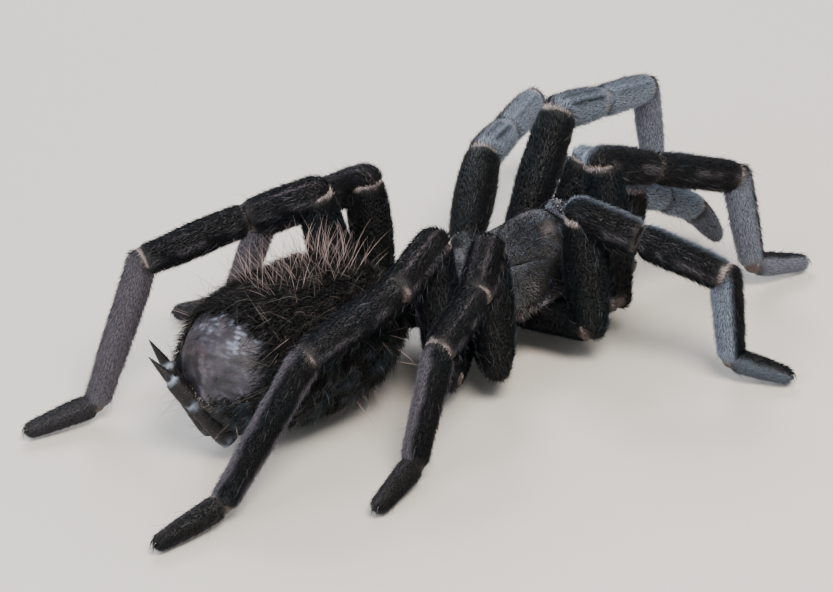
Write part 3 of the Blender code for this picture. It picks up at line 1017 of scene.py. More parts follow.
@dataclass
class Abdomen:
    """The plump abdomen with its fur, its long back hairs and the bald patch over the spinnerets."""

    front: float = -13.2
    length: float = 37.0
    half_width: float = 13.0
    half_height: float = 12.0
    lift: float = 4.0
    depth: float = 1.35
    rings: int = 92
    sides: int = 96
    bald_centre: tuple[float, float, float] = (-45.6, -2.2, 9.0)
    bald_half: tuple[float, float, float] = (7.8, 9.6, 6.7)
    worn_roots: tuple[tuple[float, float, float], ...] = ((-48.2, -2.0, -0.6), (-48.2, 2.6, -0.6))
    chart: Chart = Chart(0.004, 0.610, 0.556, 0.385)

    LUNGS = ((-19.0, 4.6), (-26.0, 4.6))  # forward and out, the middle of each pair of plates
    FOLD_AT = -22.6
    BACKWARD = (-1.0, 0.0, -0.35)  # the way its fur lies

    def grid(self) -> Grid:
        """Builds the abdomen from its waist to its rear end, and paints its fur."""
        share = np.linspace(0.03, 0.985, self.rings)
        angle = math.pi * share
        along = (1.0 - np.cos(angle)) / 2.0
        girth = np.sin(angle) ** (0.92 - 0.14 * along) * (0.955 + 0.075 * along)
        forward = self.front - self.depth - (self.length - 2.0 * self.depth) * along
        around = circle(self.sides)
        left = np.sin(around)[None, :] * ((self.half_width - self.depth) * girth)[:, None]
        up = self.lift - np.cos(around)[None, :] * ((self.half_height - self.depth) * girth)[:, None]
        local = np.stack([np.broadcast_to(forward[:, None], left.shape), left, up], axis=2)
        middle = np.array([self.front - self.length * 0.52, 0.0, self.lift])
        outward = unit((local - middle) / np.array([1.4, 1.0, 0.95]))
        local = local + outward * (0.28 * ripple(local, 7.0, 31))[..., None]
        backward = np.array(self.BACKWARD)
        lie = unit(backward - outward * (outward @ backward)[..., None])
        grid = Grid.plain(self.chart, BODY.place(local), BODY.direct(lie), Tint.FUR)
        forward, left, up = parts(local)
        height = up - self.lift
        self.mark_fur(grid, local, smooth(height, -1.2, 6.8))
        bald = self.mark_bald(grid, local)
        ridge = smooth(np.abs(left - 0.5), 6.0, 3.0) * smooth(height, 6.8, 8.8)
        ridge *= smooth(forward, -39.0, -35.0) * smooth(forward, -15.5, -18.0)
        grid.bristle += ridge + (1.0 - bald) * (0.03 + 0.04 * smooth(forward, -38.0, -46.0))
        for at in self.worn_roots:
            away = np.linalg.norm(local - np.array(at), axis=2)
            worn = smooth(away + 0.4 * ripple(local, 1.5, 33), 5.2, 3.4)
            grid.pile *= 1.0 - 0.6 * worn
            grid.velvet *= 1.0 - 0.35 * worn
        self.mark_underside(grid, local)
        return grid

    def mark_fur(self, grid: Grid, local: Array, high: Array) -> None:
        """Paints the fur: brown and pale flecks on the back; on the flanks painted sheen in blue-grey, with
        specks of painted highlight.

        Args:
            grid: The skin to paint.
            local: The skin's points in body axes.
            high: One on the back, nought low on the flanks.
        """
        fleck = smooth(ripple(local, 2.2, 5) + 0.35 * ripple(local, 6.0, 9), 0.0, 0.8)
        grid.dye(Tint.FUR_BROWN, fleck * (0.25 + 0.6 * high))
        # Painted sheen: the flanks bluer and lighter, with pale specks of painted highlight.
        grid.dye(Tint.FUR_BLUE, smooth(ripple(local, 3.5, 17), -0.4, 0.6) * (1.0 - high))
        grid.dye(Tint.GREY_BLUE, smooth(ripple(local, 0.7, 19), 0.75, 1.1) * (1.0 - high) * 0.6)
        grid.dye(Tint.FUR_PALE, smooth(ripple(local, 1.5, 25), 0.5, 0.9) * 0.5 * high)
        grid.pile += 0.95 + 0.3 * ripple(local, 5.0, 12)

    def mark_bald(self, grid: Grid, local: Array) -> Array:
        """Paints the bald patch over the spinnerets, a painted highlight of pale specks near its top, and the
        ragged fur around it.

        Args:
            grid: The skin to paint.
            local: The skin's points in body axes.

        Returns:
            One where the skin is bald.
        """
        off = (local - np.array(self.bald_centre)) / np.array(self.bald_half)
        ragged = np.linalg.norm(off, axis=2) + 0.13 * ripple(local, 2.6, 3) + 0.09 * ripple(local, 0.9, 4)
        bald = smooth(ragged, 1.0, 0.88)
        grid.stain(Tint.BALD, bald)
        forward, _, up = parts(local)
        height = up - self.lift
        rear = smooth(forward, -45.5, -48.5) * smooth(height, 2.3, 5.8)
        grid.stain(Tint.BALD_RED, bald * rear * 0.85)
        worn = smooth(ripple(local, 1.6, 65) + 0.4 * ripple(local, 0.5, 66), 0.2, 0.9)
        grid.stain(Tint.GREY_LILAC, bald * worn * 0.22)
        # Painted highlight: pale blue-grey specks, densest near the top of the patch.
        glint_crest = smooth(height, 3.8, 7.3) * smooth(forward, -46.5, -43.0)
        glint_speck = smooth(ripple(local, 0.55, 61) + 0.4 * ripple(local, 1.3, 62), 0.3, 1.0)
        grid.stain(Tint.BALD_GLINT, bald * glint_speck * (0.12 + 0.8 * glint_crest))
        blotch = smooth(ripple(local, 2.4, 63) + 0.6 * ripple(local, 0.8, 64), -0.2, 0.9)
        grid.stain(Tint.CUTICLE, bald * blotch * 0.85 * (1.0 - 0.7 * glint_crest))
        grid.gloss += bald * (0.35 + 0.5 * glint_crest)
        grid.velvet *= 1.0 - 0.995 * bald
        edge = bump(ragged, 1.06, 0.10)
        grid.pile += 0.8 * edge
        grid.dye(Tint.FUR_BROWN, edge * 0.5)
        grid.fringe += 0.5 * edge * smooth(height, 1.8, -1.2)
        return bald

    def mark_underside(self, grid: Grid, local: Array) -> None:
        """Paints the lung plates and the fold behind them on the belly."""
        forward, left, up = parts(local)
        under = smooth(up - self.lift, -7.7, -10.7)
        for at, out in self.LUNGS:
            for hand in HANDS:
                plate = np.hypot((forward - at) / 2.6, (left - out * hand) / 3.4)
                mask = under * smooth(plate, 1.15, 0.85)
                grid.stain(Tint.LUNG, mask)
                grid.dye(Tint.LUNG, mask * 0.6)
                grid.velvet *= 1.0 - 0.75 * mask
                grid.gloss += 0.3 * mask
        fold = under * bump(forward, self.FOLD_AT, 0.5) * smooth(np.abs(left), 9.0, 6.0)
        grid.dye(Tint.RUST, fold, 0.5)
        grid.pile *= 1.0 - 0.3 * under
        grid.bristle *= 1.0 - under


@dataclass
class Underside:
    """Sternum, lip and waist: the parts between the coxae. Middles and half sizes are in body axes."""

    floor: float = -6.7
    plate_half: tuple[float, float, float] = (9.7, 6.2, 3.2)
    plate_forward: float = 1.4
    lip_half: tuple[float, float, float] = (2.4, 2.2, 1.9)
    lip_forward: float = 11.9
    waist_half: tuple[float, float, float] = (3.0, 2.2, 2.0)
    waist_middle: tuple[float, float, float] = (-13.4, 0.0, 0.9)

    DIMPLES = ((3.6, 4.4), (-1.4, 4.6), (-4.9, 2.4))  # forward and out, a pair for each row

    def grids(self) -> list[Grid]:
        """Builds the sternum plate, the lip and the waist."""
        return [self.plate(), self.lip(), self.waist()]

    def dome(self, chart: Chart, centre: Sequence[float], half: Sequence[float], sides: int) -> Grid:
        """A squared ellipsoid, used for all three.

        Args:
            chart: Its place on the unwrap.
            centre: Its middle in body axes.
            half: Half sizes forward, left and up.
            sides: Points in a ring.

        Returns:
            The grid, its poles above and below.
        """
        tilt = np.linspace(0.06, math.pi - 0.06, sides // 2)[:, None]
        around = circle(sides)[None, :]
        spread = np.sin(tilt) ** 0.75
        up = np.cos(tilt) * np.ones(sides)
        local = np.stack([spread * np.cos(around), spread * np.sin(around), up], axis=2)
        points = BODY.place(local * np.array(half) + np.array(centre))
        lie = np.broadcast_to(BODY.direct((-1.0, 0.0, -0.1)), points.shape).copy()
        return Grid.plain(chart, points, lie, Tint.UNDERSIDE)

    def plate(self) -> Grid:
        """The sternum, a flat shield with marginal dimples."""
        centre = (self.plate_forward, 0.0, self.floor + self.plate_half[2])
        grid = self.dome(Chart(0.742, 0.806, 0.118, 0.110), centre, self.plate_half, 48)
        forward, left, _ = parts(BODY.local(grid.points))
        for at, out in self.DIMPLES:
            for hand in HANDS:
                dimple = bump(np.hypot(forward - at, (left - out * hand) * 0.8), 0.0, 0.7)
                grid.velvet *= 1.0 - 0.8 * dimple
                grid.gloss += dimple
        grid.bristle += 0.5
        grid.pile *= 0.8
        return grid

    def lip(self) -> Grid:
        """The labium, a small tongue in front of the sternum."""
        centre = (self.lip_forward, 0.0, self.floor + self.lip_half[2])
        grid = self.dome(Chart(0.935, 0.610, 0.060, 0.060), centre, self.lip_half, 28)
        grid.dye(Tint.RUST, np.full(grid.velvet.shape, 0.5))
        return grid

    def waist(self) -> Grid:
        """The pedicel between the carapace and the abdomen."""
        return self.dome(Chart(0.935, 0.675, 0.060, 0.060), self.waist_middle, self.waist_half, 24)


@dataclass
class Chelicera:
    """One of the two stout jaw bases, with ridged hair on top and a rust fringe along its inner edge."""

    side: Side
    front: float = 17.8
    length: float = 8.6
    half_width: float = 2.25
    half_height: float = 3.4
    depth: float = 0.45
    sides: int = 40
    rings: int = 26

    GIRTHS = ((0.0, 0.96), (0.25, 1.04), (0.5, 1.02), (0.75, 0.90), (0.93, 0.72), (1.02, 0.5), (1.07, 0.25))
    SQUARENESS = 2.4  # two would be round

    def axis(self) -> tuple[Array, Array]:
        """Root and tip of its axis in body axes."""
        hand = self.side.value
        root = np.array([self.front - 1.0, 2.45 * hand, 0.15])
        tip = np.array([self.front + self.length - 0.6, 2.35 * hand, -3.0])
        return root, tip

    def grid(self) -> Grid:
        """Builds the jaw base from its root to its blunt front end."""
        root, tip = self.axis()
        direction = unit(tip - root)
        aside = np.array([0.0, -1.0, 0.0])
        above = np.cross(aside, direction)
        shares = np.linspace(0.0, 1.0, self.rings)
        stations, girths = zip(*self.GIRTHS, strict=True)
        sizes = np.interp(shares * stations[-1], stations, girths)
        around = circle(self.sides)
        back = -np.cos(around)[None, :, None]
        across = np.sin(around)[None, :, None]
        wide = ((self.half_width - self.depth * 0.6) * sizes)[:, None, None]
        tall = ((self.half_height - self.depth) * sizes)[:, None, None]
        centre = root + (tip - root) * (shares * 1.05)[:, None]
        power = self.SQUARENESS
        squared = (np.abs(back) ** power + np.abs(across) ** power) ** (-1 / power)
        local = centre[:, None, :] + squared * (across * wide * aside + back * tall * above)
        chart = Chart(0.866, 0.806 if self.side is Side.LEFT else 0.878, 0.129, 0.068)
        lie = np.broadcast_to(BODY.direct(direction), local.shape).copy()
        grid = Grid.plain(chart, BODY.place(local), lie, Tint.CARAPACE)
        ridges = np.broadcast_to(np.sin(around * 9.0), grid.velvet.shape)
        grid.dye(Tint.VELVET, 0.5 + 0.5 * ridges)
        low = smooth(back[..., 0], -0.2, -0.8) * np.ones(grid.velvet.shape)
        grid.dye(Tint.RUST, low * 0.7)
        grid.pile *= 0.85
        grid.pile += low * 0.9
        grid.bristle += 0.6
        return grid


@dataclass
class Spinneret:
    """A long three-jointed spinneret raised behind the abdomen."""

    side: Side
    base: tuple[float, float, float]
    azimuth: float
    rise: float
    lengths: tuple[float, float, float] = (5.0, 4.6, 4.6)
    radii: tuple[tuple[float, float], ...] = ((1.95, 1.75), (1.75, 1.45), (1.10, 0.40))
    root: float = 3.0
    depth: float = 0.30
    sides: int = 22

    def grid(self) -> Grid:
        """Builds the spinneret from its root to its fine tip."""
        start = BODY.place(self.base)
        ahead = BODY.heading_vector(self.azimuth, self.rise)
        above = BODY.heading_vector(self.azimuth, self.rise + 90.0)
        aside = np.cross(ahead, above)
        around = circle(self.sides)
        round_the = np.sin(around)[:, None] * aside - np.cos(around)[:, None] * above
        rings = []
        waist_at = []
        reach = -self.root
        for k, length in enumerate(self.lengths):
            near, far = self.radii[k]
            for share in np.linspace(0.0, 1.0, 14, endpoint=False):
                radius = near + (far - near) * share
                waist = bump(share, 0.0, 0.09) + bump(share, 1.0, 0.07)
                full = max(0.12, radius - self.depth)
                full *= 1.0 - 0.13 * waist + 0.04 * math.sin(math.pi * share)
                at = reach + share * (length + (self.root if k == 0 else 0.0))
                rings.append(start + ahead * at + round_the * full)
                waist_at.append(waist)
            reach += length + (self.root if k == 0 else 0.0)
        rings.append(start + ahead * (reach + 0.1) + round_the * 0.06)
        waist_at.append(0.0)
        points = np.array(rings)
        left = 0.742 if self.side is Side.LEFT else 0.802
        chart = Chart(left, 0.920, 0.056, 0.075)
        lie = np.broadcast_to(ahead, points.shape).copy()
        grid = Grid.plain(chart, points, lie, Tint.SPINNERET)
        waist = np.array(waist_at)[:, None] * np.ones(self.sides)
        patchy = smooth(ripple(points, 0.9, 81), -0.3, 0.7)
        # Painted highlight: pale blue-grey at the joints' waists.
        grid.stain(Tint.GREY_BLUE, waist * patchy * 0.8)
        grid.dye(Tint.GREY_BLUE, waist * patchy * 0.5)
        grid.velvet *= 1.0 - 0.7 * waist
        grid.pile *= 0.34
        lower = (-np.cos(around)[None, :] < 0.2) * np.ones(grid.velvet.shape)
        grid.bristle += 0.6 * lower
        grid.gloss += 0.4
        return grid


@dataclass(frozen=True)
class Eyes:
    """A pair of eyes: how far forward, out and up from the mound's foot they sit, and their radius."""

    forward: float
    out: float
    up: float
    radius: float


@dataclass
class EyeMound:
    """The low mound on the head with its eight eyes."""

    forward: float = 15.0
    half_length: float = 1.45
    half_width: float = 1.95
    height: float = 1.75
    depth: float = 0.15
    sunk: float = 1.2  # how far its skirt goes down into the shield
    sides: int = 40
    rings: int = 16

    PAIRS = (
        Eyes(0.45, 0.50, 1.28, 0.36),
        Eyes(0.98, 1.12, 0.70, 0.33),
        Eyes(-0.50, 0.98, 1.14, 0.22),
        Eyes(-0.32, 1.48, 0.68, 0.28),
    )
    LENS_RINGS = 9
    LENS_SIDES = 18

    def base(self) -> Array:
        """The mound's foot in body axes."""
        shield = Carapace()
        height = float(shield.rise(self.forward) * shield.fall(self.forward / shield.front, 1.0))
        return np.array([self.forward, 0.0, height])

    def centres(self) -> list[tuple[Array, float]]:
        """Middle and radius of each of the eight eyes in body axes."""
        return [
            (self.base() + np.array([pair.forward, pair.out * hand, pair.up]), pair.radius)
            for pair in self.PAIRS
            for hand in HANDS
        ]

    def grid(self) -> Grid:
        """Builds the mound's skin."""
        tilt = np.linspace(0.02, 1.0, self.rings)[:-1, None] * math.pi / 2.0
        around = circle(self.sides)[None, :]
        spread = np.cos(tilt) ** 0.7
        forward = np.cos(around) * (self.half_length - self.depth) * spread
        left = np.sin(around) * (self.half_width - self.depth) * spread
        up = np.sin(tilt) * (self.height - self.depth) - 0.1 + 0.0 * around
        dome = self.base() + np.stack([forward, left, up], axis=2)
        local = np.concatenate([dome[:1] - np.array([0.0, 0.0, self.sunk]), dome])
        lie = BODY.direct(unit((local - self.base()) * np.array([1.0, 1.0, 0.2])))
        chart = Chart(0.935, 0.740, 0.060, 0.058)
        grid = Grid.plain(chart, BODY.place(local), lie, Tint.LAVENDER)
        grid.pile *= 0.75
        for centre, radius in self.centres():
            grid.velvet *= smooth(np.linalg.norm(local - centre, axis=2), radius * 1.25, radius * 1.8)
        grid.gloss += 0.4
        return grid

    def eyes(self) -> Piece:
        """Makes the eight lenses as one piece of small spheres."""
        points: list[Array] = []
        faces: list[Corners] = []
        tilt = np.linspace(0.0, math.pi, self.LENS_RINGS + 1)[1:-1, None]
        turn = circle(self.LENS_SIDES)[None, :]
        up = np.cos(tilt) + 0.0 * turn
        ball = np.stack([np.sin(tilt) * np.cos(turn), np.sin(tilt) * np.sin(turn), up], axis=2).reshape(-1, 3)
        ball = np.concatenate([[[0.0, 0.0, 1.0]], ball, [[0.0, 0.0, -1.0]]])
        for centre, radius in self.centres():
            first = len(points)
            last = first + len(ball) - 1
            points += list(BODY.place(centre + radius * ball))
            for k in range(self.LENS_SIDES):
                after = (k + 1) % self.LENS_SIDES
                faces.append((first, first + 1 + k, first + 1 + after))
                faces.append((last, last - self.LENS_SIDES + after, last - self.LENS_SIDES + k))
                for ring in range(self.LENS_RINGS - 2):
                    row = first + 1 + ring * self.LENS_SIDES
                    below = row + self.LENS_SIDES
                    faces.append((row + k, below + k, below + after, row + after))
        return smooth_object("eyes", np.array(points), faces)


def smooth_object(name: str, points: Array, faces: Sequence[Corners]) -> Piece:
    """Makes a smooth object from points in millimetres.

    Args:
        name: The object's name.
        points: Its vertices.
        faces: Its faces, each a ring of vertex numbers.

    Returns:
        The object, in metres.
    """
    data = bpy.data.meshes.new(name)
    data.from_pydata([tuple(point) for point in points * MM], [], faces)
    data.shade_smooth()
    return link_object(name, data)


def horn_parts(path: Array, radii: Array, sides: int, start: int) -> tuple[list[Array], list[Corners]]:
    """Points and faces of a curved horn along a path.

    Args:
        path: Centres from root to point.
        radii: A radius for each centre.
        sides: Points in a ring.
        start: Number of the first vertex.

    Returns:
        The points and the faces.
    """
    points: list[Array] = []
    faces: list[Corners] = []
    count = len(path)
    guide = np.cross(path[-1] - path[0], path[count // 2] - path[0])
    guide = unit(guide if np.linalg.norm(guide) > 1e-6 else np.array([0.0, 0.0, 1.0]))
    for k in range(count):
        ahead = unit(path[min(k + 1, count - 1)] - path[max(k - 1, 0)])
        upward = unit(np.cross(guide, ahead))
        for turn in circle(sides):
            points.append(path[k] + radii[k] * (math.cos(turn) * guide + math.sin(turn) * upward))
    for k in range(count - 1):
        for side in range(sides):
            after = (side + 1) % sides
            row = start + k * sides
            faces.append((row + sides + side, row + sides + after, row + after, row + side))
    points.append(path[0])
    points.append(path[-1] + unit(path[-1] - path[-2]) * radii[-1])
    root = start + count * sides
    last = root - sides
    for side in range(sides):
        after = (side + 1) % sides
        faces.append((root, start + side, start + after))
        faces.append((root + 1, last + after, last + side))
    return points, faces


def catmull(values: Array, places: Array) -> Array:
    """Reads a smooth curve through evenly spaced values at given places."""
    padded = np.concatenate([[2 * values[0] - values[1]], values, [2 * values[-1] - values[-2]]])
    out = np.empty(len(places))
    for n, place in enumerate(places):
        k = min(int(place), len(values) - 2)
        t = place - k
        a, b, c, d = padded[k : k + 4]
        square = (2 * a - 5 * b + 4 * c - d) * t**2
        cube = (3 * b - a - 3 * c + d) * t**3
        out[n] = 0.5 * (2 * b + (c - a) * t + square + cube)
    return out


@dataclass
class Fang:
    """A polished curved horn, folded back under its jaw."""

    side: Side
    steps: int = 25
    sides: int = 18

    STATIONS = (  # forward, out and up in body axes, and radius, from the root to the point
        (26.0, 2.5, -5.6, 0.90),
        (25.5, 2.4, -7.0, 0.88),
        (23.9, 2.1, -7.75, 0.72),
        (22.1, 1.8, -7.7, 0.52),
        (20.5, 1.5, -7.3, 0.30),
    )
    SHRINK = ((0.0, 0.92), (3.4, 0.92), (4.0, 0.35))  # station, and share of the radius kept

    def make(self) -> Piece:
        """Makes the fang along a smooth curve through its stations."""
        rows = np.array(self.STATIONS) * np.array([1.0, self.side.value, 1.0, 1.0])
        places = np.linspace(0.0, len(rows) - 1.0, self.steps)
        curve = np.stack([catmull(column, places) for column in rows.T], axis=1)
        radii = curve[:, 3] * np.interp(places, *zip(*self.SHRINK, strict=True))
        points, faces = horn_parts(BODY.place(curve[:, :3]), radii, self.sides, 0)
        return smooth_object(f"fang_{self.side.word}_horn", np.array(points), faces)


@dataclass
class Claws:
    """The paired claws of every leg and the single claw of every palp."""

    limbs: Sequence[Limb]
    length: float = 1.0
    droop: float = 0.9
    arch: float = 0.25
    height: float = 0.40
    apart: float = 0.42
    radii: tuple[float, float] = (0.17, 0.035)
    over_floor: float = 0.14
    steps: int = 8
    sides: int = 8

    def make(self) -> Piece:
        """Makes all claws as one piece."""
        points: list[Array] = []
        faces: list[Corners] = []
        share = np.linspace(0.0, 1.0, self.steps)[:, None]
        rise = self.height + self.arch * np.sin(share * math.pi) - self.droop * share**2
        for limb in self.limbs:
            tip = limb.articles[-1]
            radius = tip.radii[1] - limb.depth
            aside = np.cross(tip.ahead, tip.above)
            for hand in HANDS if limb.heights is not None else (0.0,):
                path = tip.end + aside * (self.apart * hand) + tip.above * rise
                path += tip.ahead * (radius * 0.72 + self.length * share)
                path[:, 2] = np.maximum(path[:, 2], self.over_floor)
                made, shown = horn_parts(path, np.linspace(*self.radii, self.steps), self.sides, len(points))
                points += made
                faces += shown
        return smooth_object("claws", np.array(points), faces)


# ---- materials
def new_finish(name: str) -> tuple[Material, Tree, Node]:
    """Starts a material; gives its tree and its shader with it."""
    material = bpy.data.materials.new(name)
    material.use_nodes = True
    return material, material.node_tree, material.node_tree.nodes["Principled BSDF"]


def noise(tree: Tree, size: float, detail: float, roughness: float = 0.5) -> Socket:
    """Cloudy noise in the piece's own space, with lumps of a size in millimetres."""
    place = add_node(tree, "ShaderNodeTexCoord").outputs["Object"]
    inputs = {"Vector": place, "Scale": 1.0 / (size * MM), "Detail": detail, "Roughness": roughness}
    return add_node(tree, "ShaderNodeTexNoise", None, inputs).outputs[0]


def attribute(tree: Tree, name: str, output: str = "Fac") -> Socket:
    """Reads an attribute of the mesh."""
    return add_node(tree, "ShaderNodeAttribute", {"attribute_name": name}).outputs[output]


def mapped(tree: Tree, value: Socket, low: float, high: float) -> Socket:
    """Takes values from nought to one to a new range."""
    inputs = {"Value": value, "To Min": low, "To Max": high}
    return add_node(tree, "ShaderNodeMapRange", None, inputs).outputs[0]


def mixed(tree: Tree, share: object, first: object, second: object, blend: str = "MIX") -> Socket:
    """Mixes two colours."""
    settings = {"data_type": "RGBA", "blend_type": blend}
    return add_node(tree, "ShaderNodeMix", settings, {0: share, 6: first, 7: second}).outputs[2]


def raise_grain(tree: Tree, height: Socket, strength: float, depth: float) -> None:
    """Gives the shader a fine relief, its depth in millimetres."""
    inputs = {"Height": height, "Strength": strength, "Distance": depth * MM}
    relief = add_node(tree, "ShaderNodeBump", None, inputs)
    tree.links.new(relief.outputs[0], tree.nodes["Principled BSDF"].inputs["Normal"])


@dataclass(frozen=True)
class Cuticle:
    """Chitin, grown and hardened: dark, faintly waxy, grained with the sockets of its hairs."""

    name: str = "chitin_cuticle_grown"
    socket_size: float = 0.28
    roughness: float = 0.46
    mottle_size: float = 1.6
    grain_size: float = 0.5

    def make(self) -> Material:
        """Builds the material; bare streaks and membranes shine a little more than the rest."""
        material, tree, shader = new_finish(self.name)
        mottle = noise(tree, self.mottle_size, 6.0, 0.65)
        spread = {"Value": mottle, "From Min": 0.3, "From Max": 0.7, "To Min": 0.62, "To Max": 1.4}
        level = add_node(tree, "ShaderNodeMapRange", None, spread).outputs[0]
        base = mixed(tree, 1.0, attribute(tree, "hide", "Color"), level, "MULTIPLY")
        tree.links.new(base, shader.inputs["Base Color"])
        rough = mapped(tree, attribute(tree, "gloss"), self.roughness + 0.14, self.roughness - 0.08)
        tree.links.new(rough, shader.inputs["Roughness"])
        place = add_node(tree, "ShaderNodeTexCoord").outputs["Object"]
        scale = 1.0 / (self.socket_size * MM)
        sockets = add_node(tree, "ShaderNodeTexVoronoi", None, {"Vector": place, "Scale": scale})
        grain = noise(tree, self.grain_size, 8.0, 0.7)
        height = add_node(tree, "ShaderNodeMath", {"operation": "ADD"}, {0: sockets.outputs[0], 1: grain})
        raise_grain(tree, height.outputs[0], 0.55, 0.12)
        shader.inputs["Specular IOR Level"].default_value = 0.4
        return material


@dataclass(frozen=True)
class HairFinish:
    """Chitin hair, grown: dark at the root, partly its own darker base and partly painted shade deep in the
    coat; its own colour over the outer part.
    """

    name: str
    root: str = "#0c0b0c"
    contrast: float = 0.45  # how much lighter and darker than its colour a hair may be
    own: str | None = None  # its colour where it isn't painted on the skin
    roughness: float = 0.45
    specular: float = 0.18
    root_reach: float = 0.45

    def make(self) -> Material:
        """Builds the material; each hair differs a little in tone from the next."""
        material, tree, shader = new_finish(self.name)
        colour = attribute(tree, "tint", "Color") if self.own is None else (*linear(self.own), 1.0)
        tone = mapped(tree, attribute(tree, "shade"), 1.0 - self.contrast, 1.0 + self.contrast)
        toned = mixed(tree, 1.0, colour, tone, "MULTIPLY")
        # Painted shade, in part: each hair darkens towards its root, where it lies deep in the coat.
        root_shade_fade = add_node(
            tree,
            "ShaderNodeMapRange",
            {"interpolation_type": "SMOOTHSTEP"},
            {"Value": attribute(tree, "rise"), "From Min": 0.05, "From Max": self.root_reach},
        )
        ramp = mixed(tree, root_shade_fade.outputs[0], (*linear(self.root), 1.0), toned)
        tree.links.new(ramp, shader.inputs["Base Color"])
        shader.inputs["Roughness"].default_value = self.roughness
        shader.inputs["Specular IOR Level"].default_value = self.specular
        return material


@dataclass(frozen=True)
class Polished:
    """A smooth hard natural surface, such as horn or an eye's lens, with faint growth marks."""

    name: str
    dark: str
    light: str
    roughness: float
    mark_size: float
    coat: float

    def make(self) -> Material:
        """Builds the material from two near colours in soft bands."""
        material, tree, shader = new_finish(self.name)
        marks = noise(tree, self.mark_size, 4.0)
        base = mixed(tree, marks, (*linear(self.dark), 1.0), (*linear(self.light), 1.0))
        tree.links.new(base, shader.inputs["Base Color"])
        raise_grain(tree, marks, 0.15, 0.03)
        shader.inputs["Roughness"].default_value = self.roughness
        shader.inputs["Coat Weight"].default_value = self.coat
        shader.inputs["Coat Roughness"].default_value = 0.05
        return material


# Fine dull down that takes the colour painted on the skin: it gives the legs a soft bloom.
VELVET_HAIR = HairFinish("velvet_hair_grown", contrast=0.25, root_reach=0.32)
# Flat silky hair pressed to the shield: it glints in flecks between near black and blue.
SHIELD_HAIR = HairFinish("shield_hair_grown", contrast=0.7, roughness=0.5, specular=0.06)
# Pale stiff hair at the article ends: it draws a light rim round each joint.
PALE_HAIR = HairFinish("pale_fringe_hair_grown", Tint.STREAK.value, own=Tint.FRINGE.value, root_reach=0.25)
# Long dark hair with a dull sheen: single hairs stand out from the velvet of the legs.
GUARD_HAIR = HairFinish("guard_hair_grown", "#16171a", own="#5f626b", root_reach=0.35, roughness=0.42)
# Long reddish-grey hair of the mane: each hair catches the light along its length.
MANE_HAIR = HairFinish("long_bristle_grown", "#2a2425", own="#a5928d", root_reach=0.30, roughness=0.38)
# Loose curly brown-grey hair: it makes the abdomen look woolly.
CURLY_HAIR = HairFinish("curly_fur_hair_grown", own="#5c564f", root_reach=0.35)
# Black-brown horn, worn smooth: a bright soft highlight along the curve.
FANG_HORN = Polished("fang_horn_grown", "#0a0606", "#1c0f0b", 0.22, 0.8, coat=0.6)
# Clear hard lens over black: a small sharp spark on each eye.
EYE_LENS = Polished("eye_lens_grown", "#050506", "#100f12", 0.06, 0.4, coat=1.0)


# ---- hair
@dataclass(frozen=True)
class Coat:
    """One kind of hair: where it grows, how long, thick, raised and curled it is."""

    name: str
    cover: str  # the skin's share that says where it grows
    finish: HairFinish
    density: float  # hairs on a square millimetre
    length: float  # share of the pile where pile is used, else millimetres
    slenderness: float  # root radius as a share of the length
    lift: float  # degrees over the skin
    curl: float
    jitter: float
    by_pile: bool = True
    segments: int = 2
    spread: float = 0.30  # how much longer or shorter a hair may be

    def values(self) -> Values:
        """What the hair tree's inputs get, apart from the seed and the material."""
        return {
            "Cover": self.cover,
            "Density": self.density,
            "Length": self.length,
            "Pile": float(self.by_pile),
            "Slenderness": self.slenderness,
            "Lift": self.lift,
            "Curl": self.curl,
            "Jitter": self.jitter,
            "Spread": self.spread,
            "Segments": self.segments,
        }


